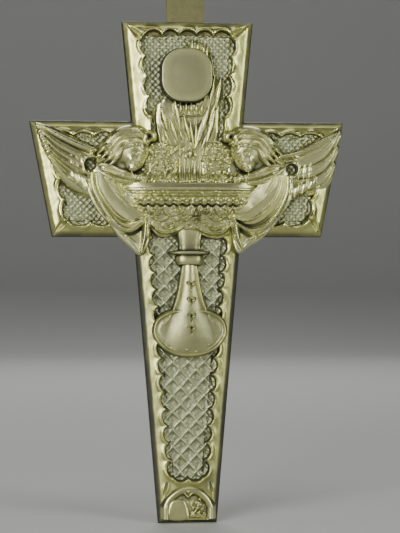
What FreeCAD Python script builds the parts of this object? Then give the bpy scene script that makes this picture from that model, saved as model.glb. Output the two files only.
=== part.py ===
import FreeCAD
import Part
import math
import os
import re

import Sketcher

# A small cast-brass processional cross, in millimetres.
# X runs to the right, Y to the back and Z up. The origin is the middle of the foot's flat end.
# Back to front it is a plain back plate, a ground sheet that carries the lattice, a bevelled
# border frame with a scalloped opening, and cast relief mounts screwed on from behind. A hanger
# strap is let into the plate at the top, and its rolled knuckle carries a free-swinging bail.

V = FreeCAD.Vector
doc = FreeCAD.newDocument("processional_cross")

# ---------------------------------------------------------------- driving dimensions
SIZES = {
    # outline of the cross, as half widths and heights
    "foot_half": 11.8,
    "shaft_half": 21.4,
    "arm_low_half": 54.2,
    "arm_high_half": 63.2,
    "neck_half": 22.6,
    "top_half": 26.4,
    "arm_bottom": 114.4,
    "arm_top": 160.6,
    "top_height": 200.4,
    # levels along Y, from the back to the front
    "back_level": 3.0,
    "seat_level": 0.6,
    "ground_level": -0.2,
    "lip_level": -3.4,
    "wing_level": -5.0,
    "robe_level": -7.2,
    "head_level": -8.6,
    # border frame
    "wall_level": -1.2,
    "chamfer_level": -2.3,
    "chamfer_wide": 1.6,
    "slope_wide": 6.6,
    "rebate_wide": 2.2,
    "fit_gap": 0.05,
    # screws
    "screw_radius": 0.8,
    "screw_head_radius": 1.6,
    "screw_head_high": 1.0,
    "screw_sink": 1.2,
    "screw_tip": -2.0,
    "hole_radius": 0.9,
    "thread_radius": 0.85,
    "thread_end": -2.1,
    "boss_radius": 2.1,
    # hanger strap, knuckle and bail
    "hanger_offset": -0.8,
    "strap_half": 7.6,
    "strap_thick": 1.6,
    "strap_foot": 178.0,
    "knuckle_height": 214.4,
    "knuckle_radius": 2.8,
    "pin_gap": 0.08,
    "bail_rod": 1.4,
    "bail_half": 10.2,
    "bail_leg": 8.0,
    "bail_bend": 2.6,
    "rivet_radius": 1.2,
    "rivet_head_radius": 2.0,
    "rivet_head_high": 0.4,
    # relief mounts
    "relief_centre": 0.6,
    "host_offset": -0.6,
    "host_height": 179.0,
    "host_half": 10.3,
    "host_corner": 8.2,
    "host_level": -6.4,
    "host_round": 1.2,
    "glory_level": -2.6,
    "grape_level": -4.4,
    "niche_half": 8.8,
    "niche_foot": 1.2,
    "niche_spring": 6.4,
    "niche_crown": 13.2,
    "arch_wide": 1.4,
    "arch_overlap": 2.0,
    "arch_foot": 0.3,
    "arch_floor": -2.6,
    "arch_level": -4.8,
    "foot_relief_level": -4.2,
}

sheet = doc.addObject("Spreadsheet::Sheet", "sizes")
for row, (name, value) in enumerate(SIZES.items(), start=1):
    sheet.set("A%d" % row, name)
    sheet.set("B%d" % row, str(value))
    sheet.setAlias("B%d" % row, name)
doc.recompute()

NODES = []


def bound(text):
    """An expression on the sheet, from one that uses the plain names of its dimensions."""
    return re.sub(r"[a-z_]+", lambda found: "sizes." + found.group(), text)


def size(text):
    """What such an expression comes to now, in millimetres."""
    return float(sheet.evalExpression(bound(text)))


def node(thing, label):
    """Names a finished sub-part and puts it on the list of those that are written."""
    thing.Label = label
    NODES.append(thing)
    return thing


# ---------------------------------------------------------------- helpers for bodies
def plane(body, role):
    """One of a body's own origin planes."""
    return next(item for item in body.Origin.OriginFeatures if item.Role == role)


def make_body(label):
    """A new body, which becomes the node of that name. It may hold several like solids."""
    body = doc.addObject("PartDesign::Body", label + "_body")
    body.AllowCompound = True
    return node(body, label)


def front_sketch(body, name, level):
    """A sketch on the body's XZ plane, moved to a level. It looks, and pads, to the front."""
    sketch = body.newObject("Sketcher::SketchObject", name)
    sketch.AttachmentSupport = [(plane(body, "XZ_Plane"), "")]
    sketch.MapMode = "FlatFace"
    sketch.setExpression("AttachmentOffset.Base.z", bound("-(%s)" % level))
    return sketch


def side_sketch(body, name):
    """A sketch on the body's YZ plane, at the middle of the hanger. It looks to the right."""
    sketch = body.newObject("Sketcher::SketchObject", name)
    sketch.AttachmentSupport = [(plane(body, "YZ_Plane"), "")]
    sketch.MapMode = "FlatFace"
    sketch.setExpression("AttachmentOffset.Base.z", bound("hanger_offset"))
    return sketch


def constrain(sketch, kind, places, text):
    """A dimension of a sketch, held to an expression on the sheet."""
    index = sketch.addConstraint(Sketcher.Constraint(kind, *places, size(text)))
    sketch.setExpression("Constraints[%d]" % index, bound(text))


def pad(body, sketch, back, front):
    """Pads a front sketch from the level where it lies to one nearer the front."""
    feature = body.newObject("PartDesign::Pad", sketch.Name + "_pad")
    feature.Profile = sketch
    feature.setExpression("Length", bound("%s - (%s)" % (back, front)))
    return feature


def pocket(body, sketch, back, front):
    """Cuts a front sketch from the level where it lies to one nearer the front."""
    before = body.Shape.Volume
    feature = body.newObject("PartDesign::Pocket", sketch.Name + "_pocket")
    feature.Profile = sketch
    feature.Reversed = True
    feature.setExpression("Length", bound("%s - (%s)" % (back, front)))
    doc.recompute()
    assert body.Shape.Volume < before, sketch.Name
    return feature


def add_circle(sketch, radius, across, up):
    """A circle, its radius and centre given as expressions on the sheet."""
    centre_at = V(size(across), size(up), 0)
    circle = sketch.addGeometry(Part.Circle(centre_at, V(0, 0, 1), size(radius)), False)
    constrain(sketch, "Radius", (circle,), radius)
    constrain(sketch, "DistanceX", (-1, 1, circle, 3), across)
    constrain(sketch, "DistanceY", (-1, 1, circle, 3), up)


def add_rings(sketch, places, radius):
    """Like circles at several places. The first has the radius and the rest are equal to it."""
    first = None
    for across, up in places:
        circle = sketch.addGeometry(Part.Circle(V(across, up, 0), V(0, 0, 1), size(radius)), False)
        if first is None:
            first = circle
            constrain(sketch, "Radius", (circle,), radius)
        else:
            sketch.addConstraint(Sketcher.Constraint("Equal", first, circle))
        sketch.addConstraint(Sketcher.Constraint("DistanceX", -1, 1, circle, 3, across))
        sketch.addConstraint(Sketcher.Constraint("DistanceY", -1, 1, circle, 3, up))


def bore(body, name, places, radius, back, front):
    """Bores like round holes from one level to another, nearer the front."""
    sketch = front_sketch(body, name, back)
    add_rings(sketch, places, radius)
    doc.recompute()
    pocket(body, sketch, back, front)


def pegs(body, name, places, radius, back, front):
    """Round pegs or bosses from one level to another, nearer the front."""
    sketch = front_sketch(body, name, back)
    add_rings(sketch, places, radius)
    pad(body, sketch, back, front)


def join_lines(sketch, points):
    """A closed outline of straight lines through the points, joined at their ends."""
    count = len(points)
    first = sketch.GeometryCount
    for i in range(count):
        start, end = points[i], points[(i + 1) % count]
        sketch.addGeometry(Part.LineSegment(start, end), False)
    for i in range(count):
        after = first + (i + 1) % count
        sketch.addConstraint(Sketcher.Constraint("Coincident", first + i, 2, after, 1))


def join_smooth(sketch, points):
    """One smooth closed curve through the points."""
    curve = Part.BSplineCurve()
    curve.interpolate(points, PeriodicFlag=True)
    sketch.addGeometry(curve, False)


# ---------------------------------------------------------------- outline of the cross
RIGHT_HALF = [
    ("foot_half", None),
    ("shaft_half", "arm_bottom"),
    ("arm_low_half", "arm_bottom"),
    ("arm_high_half", "arm_top"),
    ("neck_half", "arm_top"),
    ("top_half", "top_height"),
]
CORNERS = RIGHT_HALF + [("-" + half, height) for half, height in reversed(RIGHT_HALF)]


def outline_points():
    """The twelve corners of the cross, from the foot up its right side and down its left."""
    return [V(size(half), size(height) if height else 0.0, 0) for half, height in CORNERS]


def meet(first, second):
    """Where two lines cross, each given as a point and a direction."""
    (point, along), (other, way) = first, second
    between = other - point
    turn = along.x * way.y - along.y * way.x
    return point + along * ((between.x * way.y - between.y * way.x) / turn)


def drawn_in(insets):
    """The outline's corners with each edge drawn in by its own amount, corners kept sharp."""
    corners = outline_points()
    lines = []
    for i, inset in enumerate(insets):
        along = (corners[(i + 1) % len(corners)] - corners[i]).normalize()
        lines.append((corners[i] + V(-along.y, along.x, 0) * inset, along))
    return [meet(lines[i - 1], lines[i]) for i in range(len(lines))]


def draw_outline(sketch):
    """Draws the outline, each corner held to the sheet."""
    join_lines(sketch, outline_points())
    for i, (half, height) in enumerate(CORNERS):
        constrain(sketch, "DistanceX", (-1, 1, i, 1), half)
        if height is None:
            sketch.addConstraint(Sketcher.Constraint("PointOnObject", i, 1, -1))
        else:
            constrain(sketch, "DistanceY", (-1, 1, i, 1), height)
    return sketch


def loose_sketch(name, level):
    """A sketch outside any body that faces the front at a level."""
    sketch = doc.addObject("Sketcher::SketchObject", name)
    sketch.Placement = FreeCAD.Placement(V(), FreeCAD.Rotation(V(1, 0, 0), 90))
    sketch.setExpression(".Placement.Base.y", bound(level))
    return sketch


def inset_at(name, level, inset):
    """The outline at a level, drawn in all round by a size worked out from the sheet."""
    sketch = loose_sketch(name, level)
    points = drawn_in([size(inset)] * len(CORNERS))
    join_lines(sketch, points)
    for i, point in enumerate(points):
        sketch.addConstraint(Sketcher.Constraint("DistanceX", -1, 1, i, 1, point.x))
        sketch.addConstraint(Sketcher.Constraint("DistanceY", -1, 1, i, 1, point.y))
    return sketch


def slab(name, section, back, front):
    """A section stretched from the level where it lies to one nearer the front."""
    solid = doc.addObject("Part::Extrusion", name)
    solid.Base = section
    solid.DirMode = "Custom"
    solid.Dir = V(0, -1, 0)
    solid.setExpression("LengthFwd", bound("%s - (%s)" % (back, front)))
    solid.Solid = True
    return solid


def drills(name, places, radius, back, front):
    """Round cutters through a level span, as one group."""
    pins = []
    for i, (x, z) in enumerate(places):
        pin = doc.addObject("Part::Cylinder", "%s_%d" % (name, i))
        pin.setExpression("Radius", bound(radius))
        pin.setExpression("Height", bound("%s - (%s)" % (back, front)))
        pin.Placement = FreeCAD.Placement(V(x, 0, z), FreeCAD.Rotation(V(1, 0, 0), 90))
        pin.setExpression(".Placement.Base.y", bound(back))
        pins.append(pin)
    group = doc.addObject("Part::Compound", name)
    group.Links = pins
    return group


def cut(name, base, tool):
    """One shape less another."""
    result = doc.addObject("Part::Cut", name)
    result.Base = base
    result.Tool = tool
    return result


# ---------------------------------------------------------------- places of the screws
FRAME_PLACES = [(9.6, 20.0), (13.6, 62.0), (17.2, 104.0), (34.0, 118.4)]
FRAME_PLACES += [(54.8, 137.5), (36.0, 157.3), (20.6, 182.0)]
FRAME_SCREWS = [(side * x, z) for side in (-1, 1) for x, z in FRAME_PLACES]
HOST_SCREWS = [(-5.0, 174.6), (3.8, 174.6)]
GLORY_SCREWS = [(-8.2, 163.0), (10.0, 163.0)]
RIM_SCREWS = [(-15.0, 134.2), (16.2, 134.2)]
BOWL_SCREWS = [(-9.4, 124.6), (10.6, 124.6)]
KNOP_SCREWS = [(0.6, 108.6)]
FOOT_SCREWS = [(-4.0, 75.0), (5.2, 75.0)]
ARCH_SCREWS = [(0.0, 9.8)]
RIVETS = [(size("hanger_offset"), 184.0), (size("hanger_offset"), 193.6)]
# these are distances from the relief's centre line, for the pieces that come in pairs
GRAPE_SCREWS = [(11.0, 142.6)]
FIGURE_SCREWS = [(22.0, 146.0), (28.6, 142.6)]
ROBE_SCREWS = [(27.0, 125.4), (32.6, 131.0)]
WING_SCREWS = [(40.4, 146.6), (46.6, 149.4)]


def beside(points, side):
    """Points given from the relief's centre line, put on its left (-1) or its right (1)."""
    centre = size("relief_centre")
    return [(centre + side * x, z) for x, z in points]


MOUNT_SCREWS = HOST_SCREWS + GLORY_SCREWS + RIM_SCREWS + BOWL_SCREWS
MOUNT_SCREWS += KNOP_SCREWS + FOOT_SCREWS + ARCH_SCREWS
for places in (GRAPE_SCREWS, FIGURE_SCREWS, ROBE_SCREWS, WING_SCREWS):
    MOUNT_SCREWS += beside(places, -1) + beside(places, 1)
ALL_SCREWS = FRAME_SCREWS + MOUNT_SCREWS


# ---------------------------------------------------------------- back plate and ground sheet
def make_back_plate():
    """The structural plate, with sunk screw heads and a bed for the hanger strap."""
    body = make_body("back_plate")
    outline = draw_outline(front_sketch(body, "plate_outline", "back_level"))
    pad(body, outline, "back_level", "seat_level")
    doc.recompute()
    sunk = "back_level - screw_sink"
    bore(body, "plate_heads", ALL_SCREWS, "screw_head_radius + fit_gap * 2", "back_level", sunk)
    bore(body, "plate_holes", ALL_SCREWS, "hole_radius", sunk, "seat_level")
    bed = front_sketch(body, "strap_bed", "seat_level + strap_thick")
    strap_rectangle(bed, "strap_half + fit_gap", "strap_foot - fit_gap", "top_height")
    doc.recompute()
    pocket(body, bed, "seat_level + strap_thick", "seat_level")
    heads = "back_level - rivet_head_high"
    bore(body, "rivet_seats", RIVETS, "rivet_head_radius + fit_gap", "back_level", heads)
    bed_level = "seat_level + strap_thick"
    bore(body, "rivet_holes", RIVETS, "rivet_radius + fit_gap", heads, bed_level)


def strap_rectangle(sketch, half, low, high):
    """An upright rectangle about the hanger's centre line."""
    left, right = size("hanger_offset - (%s)" % half), size("hanger_offset + (%s)" % half)
    bottom, top = size(low), size(high)
    corners = [(left, bottom), (right, bottom), (right, top), (left, top)]
    join_lines(sketch, [V(x, z, 0) for x, z in corners])
    for line in (0, 2):
        sketch.addConstraint(Sketcher.Constraint("Horizontal", line))
    for line in (1, 3):
        sketch.addConstraint(Sketcher.Constraint("Vertical", line))
    constrain(sketch, "DistanceX", (-1, 1, 0, 1), "hanger_offset - (%s)" % half)
    constrain(sketch, "DistanceX", (-1, 1, 0, 2), "hanger_offset + (%s)" % half)
    constrain(sketch, "DistanceY", (-1, 1, 0, 1), low)
    constrain(sketch, "DistanceY", (-1, 1, 2, 1), high)


def make_ground_sheet():
    """The thin sheet behind the opening. Its front is the recessed ground."""
    edge = inset_at("ground_edge", "seat_level", "rebate_wide + fit_gap")
    blank = slab("ground_blank", edge, "seat_level", "ground_level")
    holes = drills("ground_holes", ALL_SCREWS, "hole_radius", "seat_level", "ground_level")
    node(cut("ground_cut", blank, holes), "ground_sheet")


# ---------------------------------------------------------------- border frame
# Each edge of the outline, from the right of the shaft round to the foot: how far the
# scallops' points stand in from it, how deep the scallops are, and their pitch along it.
SIDE_BORDERS = [
    (7.3, 1.5, 6.8),
    (6.4, 1.8, 7.6),
    (8.0, 1.8, 7.8),
    (6.2, 1.6, 7.6),
    (8.6, 2.0, 8.8),
]
TOP_BORDER = (5.6, 2.4, 7.6)
FOOT_BORDER = (17.0, 0.0, 20.0)
BORDERS = SIDE_BORDERS + [TOP_BORDER] + SIDE_BORDERS[::-1] + [FOOT_BORDER]
JUT_SHALLOW = 0.4


def scalloped_wire():
    """The opening's edge: round lobes let into the border, meeting in points.

    The lobes beside a corner that juts into the opening are shallow, so that they keep apart.
    """
    corners = drawn_in([inset for inset, _, _ in BORDERS])
    total = len(corners)
    runs = [corners[(i + 1) % total] - corners[i] for i in range(total)]
    juts = [runs[i - 1].cross(runs[i]).z < 0 for i in range(total)]
    edges = []
    for i, (_, depth, pitch) in enumerate(BORDERS):
        start, run = corners[i], runs[i]
        outward = V(run.y, -run.x, 0).normalize()
        count = max(1, round(run.Length / pitch))
        for k in range(count):
            near, far = start + run * (k / count), start + run * ((k + 1) / count)
            beside_jut = (k == 0 and juts[i]) or (k == count - 1 and juts[(i + 1) % total])
            bulge = depth * (JUT_SHALLOW if beside_jut else 1.0)
            if bulge:
                edges.append(Part.Arc(near, (near + far) * 0.5 + outward * bulge, far).toShape())
            else:
                edges.append(Part.LineSegment(near, far).toShape())
    return Part.Wire(edges)


def niche_wire(grow, low):
    """The round-topped niche at the foot, its sides and crown moved out by grow."""
    half, spring = size("niche_half") + grow, size("niche_spring")
    left, right = V(-half, spring, 0), V(half, spring, 0)
    edges = [
        Part.LineSegment(V(-half, low, 0), V(half, low, 0)).toShape(),
        Part.LineSegment(V(half, low, 0), right).toShape(),
        Part.Arc(right, V(0, size("niche_crown") + grow, 0), left).toShape(),
        Part.LineSegment(left, V(-half, low, 0)).toShape(),
    ]
    return Part.Wire(edges)


def opening_cutter():
    """A cutter for the scalloped opening and the niche. Its outline is all arcs in a row."""
    back, front = size("seat_level") + 1.0, size("lip_level") - 1.0
    cutters = []
    gap = size("fit_gap")
    for wire in (scalloped_wire(), niche_wire(gap, size("niche_foot") - gap)):
        face = Part.Face(wire)
        face.rotate(V(), V(1, 0, 0), 90)
        face.translate(V(0, back, 0))
        cutters.append(face.extrude(V(0, front - back, 0)))
    cutter = doc.addObject("Part::Feature", "opening_cutter")
    cutter.Shape = Part.makeCompound(cutters)
    return cutter


def make_border_frame():
    """The bevelled frame: a wall, a steep chamfer, and a facet that rises to the inner lip."""
    sections = [
        draw_outline(loose_sketch("frame_foot", "seat_level")),
        draw_outline(loose_sketch("frame_wall", "wall_level")),
        inset_at("frame_chamfer", "chamfer_level", "chamfer_wide"),
        inset_at("frame_lip", "lip_level", "chamfer_wide + slope_wide"),
    ]
    solid = doc.addObject("Part::Loft", "frame_solid")
    solid.Sections = sections
    solid.Solid = True
    solid.Ruled = True
    rebate = slab(
        "frame_rebate",
        inset_at("rebate_edge", "seat_level", "rebate_wide"),
        "seat_level",
        "ground_level",
    )
    threads = drills("frame_threads", FRAME_SCREWS, "thread_radius", "ground_level", "thread_end")
    rebated = cut("frame_rebated", solid, rebate)
    opened = cut("frame_opened", rebated, opening_cutter())
    node(cut("frame_cut", opened, threads), "border_frame")


# ---------------------------------------------------------------- screws and rivets
def make_screws(label, places):
    """Short screws from behind, their heads sunk in the back plate."""
    body = make_body(label)
    seat = "back_level - screw_sink"
    pegs(body, label + "_heads", places, "screw_head_radius", seat + " + screw_head_high", seat)
    pegs(body, label + "_shanks", places, "screw_radius", seat, "screw_tip")


def make_rivets():
    """The rivets through the strap, dressed flush with the back."""
    body = make_body("hanger_rivets")
    neck = "back_level - rivet_head_high"
    pegs(body, "rivet_heads", RIVETS, "rivet_head_radius", "back_level", neck)
    pegs(body, "rivet_shanks", RIVETS, "rivet_radius", neck, "seat_level")


# ---------------------------------------------------------------- hanger and bail
KNUCKLE_LEVEL = "seat_level + strap_thick - knuckle_radius"


def make_hanger_strap():
    """The flat strap, rolled to the front at its top into a knuckle for the bail."""
    body = make_body("hanger_strap")
    back = "seat_level + strap_thick"
    strip = front_sketch(body, "strap_outline", back)
    strap_rectangle(strip, "strap_half", "strap_foot", "knuckle_height")
    pad(body, strip, back, "seat_level")
    roll = side_sketch(body, "knuckle_round")
    add_circle(roll, "knuckle_radius", KNUCKLE_LEVEL, "knuckle_height")
    tube = body.newObject("PartDesign::Pad", "knuckle_pad")
    tube.Profile = roll
    tube.SideType = "Symmetric"
    tube.setExpression("Length", bound("strap_half * 2"))
    doc.recompute()
    before = body.Shape.Volume
    eye = side_sketch(body, "knuckle_eye")
    add_circle(eye, "bail_rod + pin_gap", KNUCKLE_LEVEL, "knuckle_height")
    hole = body.newObject("PartDesign::Pocket", "knuckle_bore")
    hole.Profile = eye
    hole.SideType = "Symmetric"
    hole.setExpression("Length", bound("strap_half * 2 + bail_rod"))
    doc.recompute()
    assert body.Shape.Volume < before
    bore(body, "strap_holes", RIVETS, "rivet_radius + fit_gap", back, "seat_level")


def make_bail_ring():
    """A D-shaped ring of round rod. Its straight side turns in the knuckle."""
    body = make_body("bail_ring")
    path = front_sketch(body, "bail_path", KNUCKLE_LEVEL)
    middle, foot = size("hanger_offset"), size("knuckle_height")
    half, leg, bend = size("bail_half"), size("bail_leg"), size("bail_bend")
    left, right = middle - half, middle + half
    quarter = math.pi / 2
    axis = V(0, 0, 1)

    def arc(x, z, radius, start, end):
        circle = Part.Circle(V(x, z, 0), axis, radius)
        return Part.ArcOfCircle(circle, start * quarter, end * quarter)

    pieces = [
        Part.LineSegment(V(left + bend, foot, 0), V(right - bend, foot, 0)),
        arc(right - bend, foot + bend, bend, 3, 4),
        Part.LineSegment(V(right, foot + bend, 0), V(right, foot + leg, 0)),
        arc(middle, foot + leg, half, 0, 2),
        Part.LineSegment(V(left, foot + leg, 0), V(left, foot + bend, 0)),
        arc(left + bend, foot + bend, bend, 2, 3),
    ]
    path.addGeometry(pieces, False)
    for i in range(len(pieces)):
        joined = (i, 2, (i + 1) % len(pieces), 1)
        path.addConstraint(Sketcher.Constraint("Tangent", *joined))
    path.addConstraint(Sketcher.Constraint("Horizontal", 0))
    path.addConstraint(Sketcher.Constraint("Vertical", 2))
    path.addConstraint(Sketcher.Constraint("Equal", 1, 5))
    constrain(path, "Radius", (1,), "bail_bend")
    constrain(path, "Radius", (3,), "bail_half")
    constrain(path, "DistanceX", (-1, 1, 3, 3), "hanger_offset")
    constrain(path, "DistanceY", (-1, 1, 3, 3), "knuckle_height + bail_leg")
    constrain(path, "DistanceY", (-1, 1, 1, 3), "knuckle_height + bail_bend")
    rod = side_sketch(body, "bail_round")
    add_circle(rod, "bail_rod", KNUCKLE_LEVEL, "knuckle_height")
    doc.recompute()
    ring = body.newObject("PartDesign::AdditivePipe", "bail_sweep")
    ring.Profile = rod
    ring.Spine = (path, [])


# ---------------------------------------------------------------- relief mounts
def relief(label, points, back, front, draw=join_smooth):
    """A mount of one thickness, its outline drawn through the points."""
    body = make_body(label)
    outline = front_sketch(body, label + "_outline", back)
    draw(outline, [V(x, z, 0) for x, z in points])
    pad(body, outline, back, front)
    doc.recompute()
    return body


def soften(body, edge_round):
    """Rounds the front edges of a mount."""
    tip = body.Tip
    front = min(tip.Shape.Faces, key=lambda face: face.CenterOfMass.y)
    edges = enumerate(tip.Shape.Edges, start=1)
    names = ["Edge%d" % i for i, edge in edges if any(edge.isSame(own) for own in front.Edges)]
    fillet = body.newObject("PartDesign::Fillet", body.Label + "_round")
    fillet.Base = (tip, names)
    fillet.setExpression("Radius", bound(edge_round))
    doc.recompute()


def thread(body, places):
    """The blind tapped holes for a mount's screws."""
    bore(body, body.Label + "_threads", places, "thread_radius", "ground_level", "thread_end")


def squircle(sketch, half):
    """A square with very round corners, about the host's centre."""
    middle, height = size("host_offset"), size("host_height")
    reach, corner = size(half), size("host_corner")
    flat = reach - corner
    across = [(flat, -reach), (reach, -flat), (reach, flat), (flat, reach)]
    across += [(-x, -z) for x, z in across]
    points = [V(middle + x, height + z, 0) for x, z in across]
    corner_reach = flat + corner * 0.5 ** 0.5
    turns = [(1, -1), (1, 1), (-1, 1), (-1, -1)]
    pieces = []
    for i, (x, z) in enumerate(turns):
        start, end = points[2 * i], points[2 * i + 1]
        middle_point = V(middle + x * corner_reach, height + z * corner_reach, 0)
        pieces.append(Part.Arc(start, middle_point, end))
        pieces.append(Part.LineSegment(end, points[(2 * i + 2) % len(points)]))
    first = sketch.GeometryCount
    sketch.addGeometry(pieces, False)
    for i in range(len(pieces)):
        after = first + (i + 1) % len(pieces)
        sketch.addConstraint(Sketcher.Constraint("Coincident", first + i, 2, after, 1))
    for i in range(0, len(pieces), 2):
        constrain(sketch, "Radius", (first + i,), "host_corner")


GLORY = [(-4.4, 136.8), (0.9, 136.4), (6.2, 136.8), (6.4, 147.6), (11.8, 155.0), (12.8, 167.0)]
GLORY += [(12.8, 181.0), (9.0, 191.4), (-0.6, 193.6), (-10.0, 191.0), (-12.8, 181.0)]
GLORY += [(-12.4, 167.0), (-10.4, 155.0), (-5.0, 147.6)]


def make_host():
    """The plain raised host, and the glory of rays that surrounds it down to the chalice."""
    host = make_body("host_disc")
    outline = front_sketch(host, "host_outline", "ground_level")
    squircle(outline, "host_half")
    pad(host, outline, "ground_level", "host_level")
    doc.recompute()
    soften(host, "host_round")
    thread(host, HOST_SCREWS)
    glory = relief("glory_rays", GLORY, "ground_level", "glory_level")
    seat = front_sketch(glory, "host_seat", "ground_level")
    squircle(seat, "host_half + fit_gap")
    doc.recompute()
    pocket(glory, seat, "ground_level", "glory_level")
    thread(glory, GLORY_SCREWS)


def half_round(label, stations, screws, ruled):
    """A turned shape, flattened and halved: ellipses at (height, half width, depth)."""
    rings = []
    for i, (height, half, depth) in enumerate(stations):
        ring = doc.addObject("Part::Ellipse", "%s_ring_%d" % (label, i))
        ring.MajorRadius = half
        ring.MinorRadius = depth
        ring.Placement = FreeCAD.Placement(V(0, 0, height), FreeCAD.Rotation())
        ring.setExpression(".Placement.Base.x", bound("relief_centre"))
        ring.setExpression(".Placement.Base.y", bound("ground_level"))
        rings.append(ring)
    whole = doc.addObject("Part::Loft", label + "_whole")
    whole.Sections = rings
    whole.Solid = True
    whole.Ruled = ruled
    low, high = stations[0][0], stations[-1][0]
    widest = max(half for _, half, _ in stations)
    behind = doc.addObject("Part::Box", label + "_behind")
    behind.Length = 4 * widest
    behind.Width = 2 * widest
    behind.Height = high - low + 2
    behind.Placement = FreeCAD.Placement(V(-2 * widest, 0, low - 1), FreeCAD.Rotation())
    behind.setExpression(".Placement.Base.y", bound("ground_level"))
    halved = cut(label + "_half", whole, behind)
    holes = drills(label + "_threads", screws, "thread_radius", "ground_level", "thread_end")
    return cut(label + "_cut", halved, holes)


RIM_BOTTOM, RIM_TOP = 132.4, 136.2
BOWL_BOTTOM, KNOP_BOTTOM = 113.6, 103.2
FOOT_BOTTOM = 69.6


def make_chalice():
    """The chalice in four castings: rim band, bowl, knop and foot."""
    rim = [(RIM_BOTTOM, 26.8, 8.0), (RIM_TOP, 27.4, 8.3)]
    node(half_round("chalice_rim", rim, RIM_SCREWS, True), "chalice_rim")
    bowl = [(BOWL_BOTTOM, 6.4, 4.6), (117.0, 10.6, 5.8), (120.6, 13.2, 6.4)]
    bowl += [(123.4, 18.4, 6.9), (127.4, 23.4, 7.5), (RIM_BOTTOM, 26.2, 7.8)]
    node(half_round("chalice_bowl", bowl, BOWL_SCREWS, True), "chalice_bowl")
    knop = [(KNOP_BOTTOM, 5.7, 5.2), (107.0, 5.7, 5.2), (107.5, 8.3, 6.2), (109.3, 8.3, 6.2)]
    knop += [(109.8, 4.8, 4.6), (BOWL_BOTTOM, 5.0, 4.7)]
    node(half_round("chalice_knop", knop, KNOP_SCREWS, True), "chalice_knop")
    bell = [(FOOT_BOTTOM, 9.2, 7.2), (78.6, 9.0, 7.0), (82.4, 7.8, 6.4), (86.4, 6.3, 5.6)]
    bell += [(93.6, 4.4, 4.2), (KNOP_BOTTOM, 3.3, 3.2)]
    stem = half_round("chalice_bell", bell, FOOT_SCREWS, False)
    disc = doc.addObject("PartDesign::Body", "chalice_disc")
    edge = front_sketch(disc, "disc_outline", "lip_level")
    centre = size("relief_centre")
    right = [(6.0, 67.2), (12.0, 70.6), (15.0, 75.8), (13.4, 82.0), (7.0, 84.6)]
    points = [(centre, 66.5)] + [(centre + x, z) for x, z in right]
    points += [(centre, 85.4)] + [(centre - x, z) for x, z in reversed(right)]
    join_smooth(edge, [V(x, z, 0) for x, z in points])
    pad(disc, edge, "lip_level", "wing_level")
    foot = doc.addObject("Part::Fuse", "chalice_foot_fuse")
    foot.Base = stem
    foot.Tool = disc
    node(foot, "chalice_foot")


GRAPES = [(7.2, 137.0), (11.4, 136.7), (16.0, 137.8), (16.8, 143.0), (14.4, 147.6), (10.4, 147.8)]
GRAPES += [(8.2, 145.0), (7.6, 140.8)]
FIGURE = [(33.4, 153.2), (29.4, 157.2), (23.0, 158.2), (17.6, 155.2), (15.6, 150.2)]
FIGURE += [(17.4, 145.2), (20.8, 141.2), (23.0, 137.2), (27.2, 137.0), (32.6, 139.0)]
FIGURE += [(37.0, 141.8), (37.8, 146.0), (36.2, 150.0)]
HEAD = (24.8, 150.2)
HEAD_HALF = 5.6
ROBE = [(41.4, 140.4), (39.8, 133.6), (35.2, 124.4), (29.0, 115.2), (24.6, 110.4)]
ROBE += [(19.8, 106.4), (16.6, 110.8), (15.6, 113.4), (17.2, 121.8), (19.0, 124.2)]
ROBE += [(25.0, 128.6), (29.0, 134.2), (33.4, 137.0), (38.4, 139.8)]
WING = [(61.0, 159.4), (49.4, 153.4), (37.8, 149.4), (36.4, 145.2), (35.9, 139.2)]
WING += [(37.2, 133.2), (39.0, 129.4), (44.2, 133.6), (48.2, 136.4), (52.2, 138.6)]
WING += [(56.0, 143.2), (57.4, 147.0), (58.6, 151.4), (59.8, 156.4)]


def make_pair(side, which):
    """Grapes, angel figure, robe and wing of one side of the relief."""
    grapes = relief(which + "_grapes", beside(GRAPES, side), "ground_level", "grape_level")
    thread(grapes, beside(GRAPE_SCREWS, side))
    figure = relief(which + "_angel", beside(FIGURE, side), "wing_level", "robe_level")
    head = front_sketch(figure, which + "_head", "robe_level")
    (head_x, head_z), = beside([HEAD], side)
    head.addGeometry(Part.Circle(V(head_x, head_z, 0), V(0, 0, 1), HEAD_HALF), False)
    pad(figure, head, "robe_level", "head_level")
    robe = relief(which + "_robe", beside(ROBE, side), "wing_level", "robe_level", join_lines)
    wing = relief(which + "_wing", beside(WING, side), "lip_level", "wing_level", join_lines)
    seated = ((figure, FIGURE_SCREWS, "wing_level"), (robe, ROBE_SCREWS, "wing_level"))
    seated += ((wing, WING_SCREWS, "lip_level"),)
    for body, screws, level in seated:
        places = beside(screws, side)
        pegs(body, body.Label + "_bosses", places, "boss_radius", "ground_level", level)
        doc.recompute()
        thread(body, places)


TOMB = [(-6.8, 2.8), (-1.0, 2.8), (-1.0, 7.4), (-3.9, 9.0), (-6.8, 7.4)]
SPRIG = [(0.8, 3.2), (6.4, 3.0), (6.6, 7.2), (4.4, 10.0), (1.6, 9.0), (0.4, 6.0)]


def niche_sketch(body, name, level, wires):
    """A sketch of one or two niche outlines."""
    sketch = front_sketch(body, name, level)
    for wire in wires:
        for edge in wire.Edges:
            sketch.addGeometry(edge.Curve.trim(*edge.ParameterRange), False)
    return sketch


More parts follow.
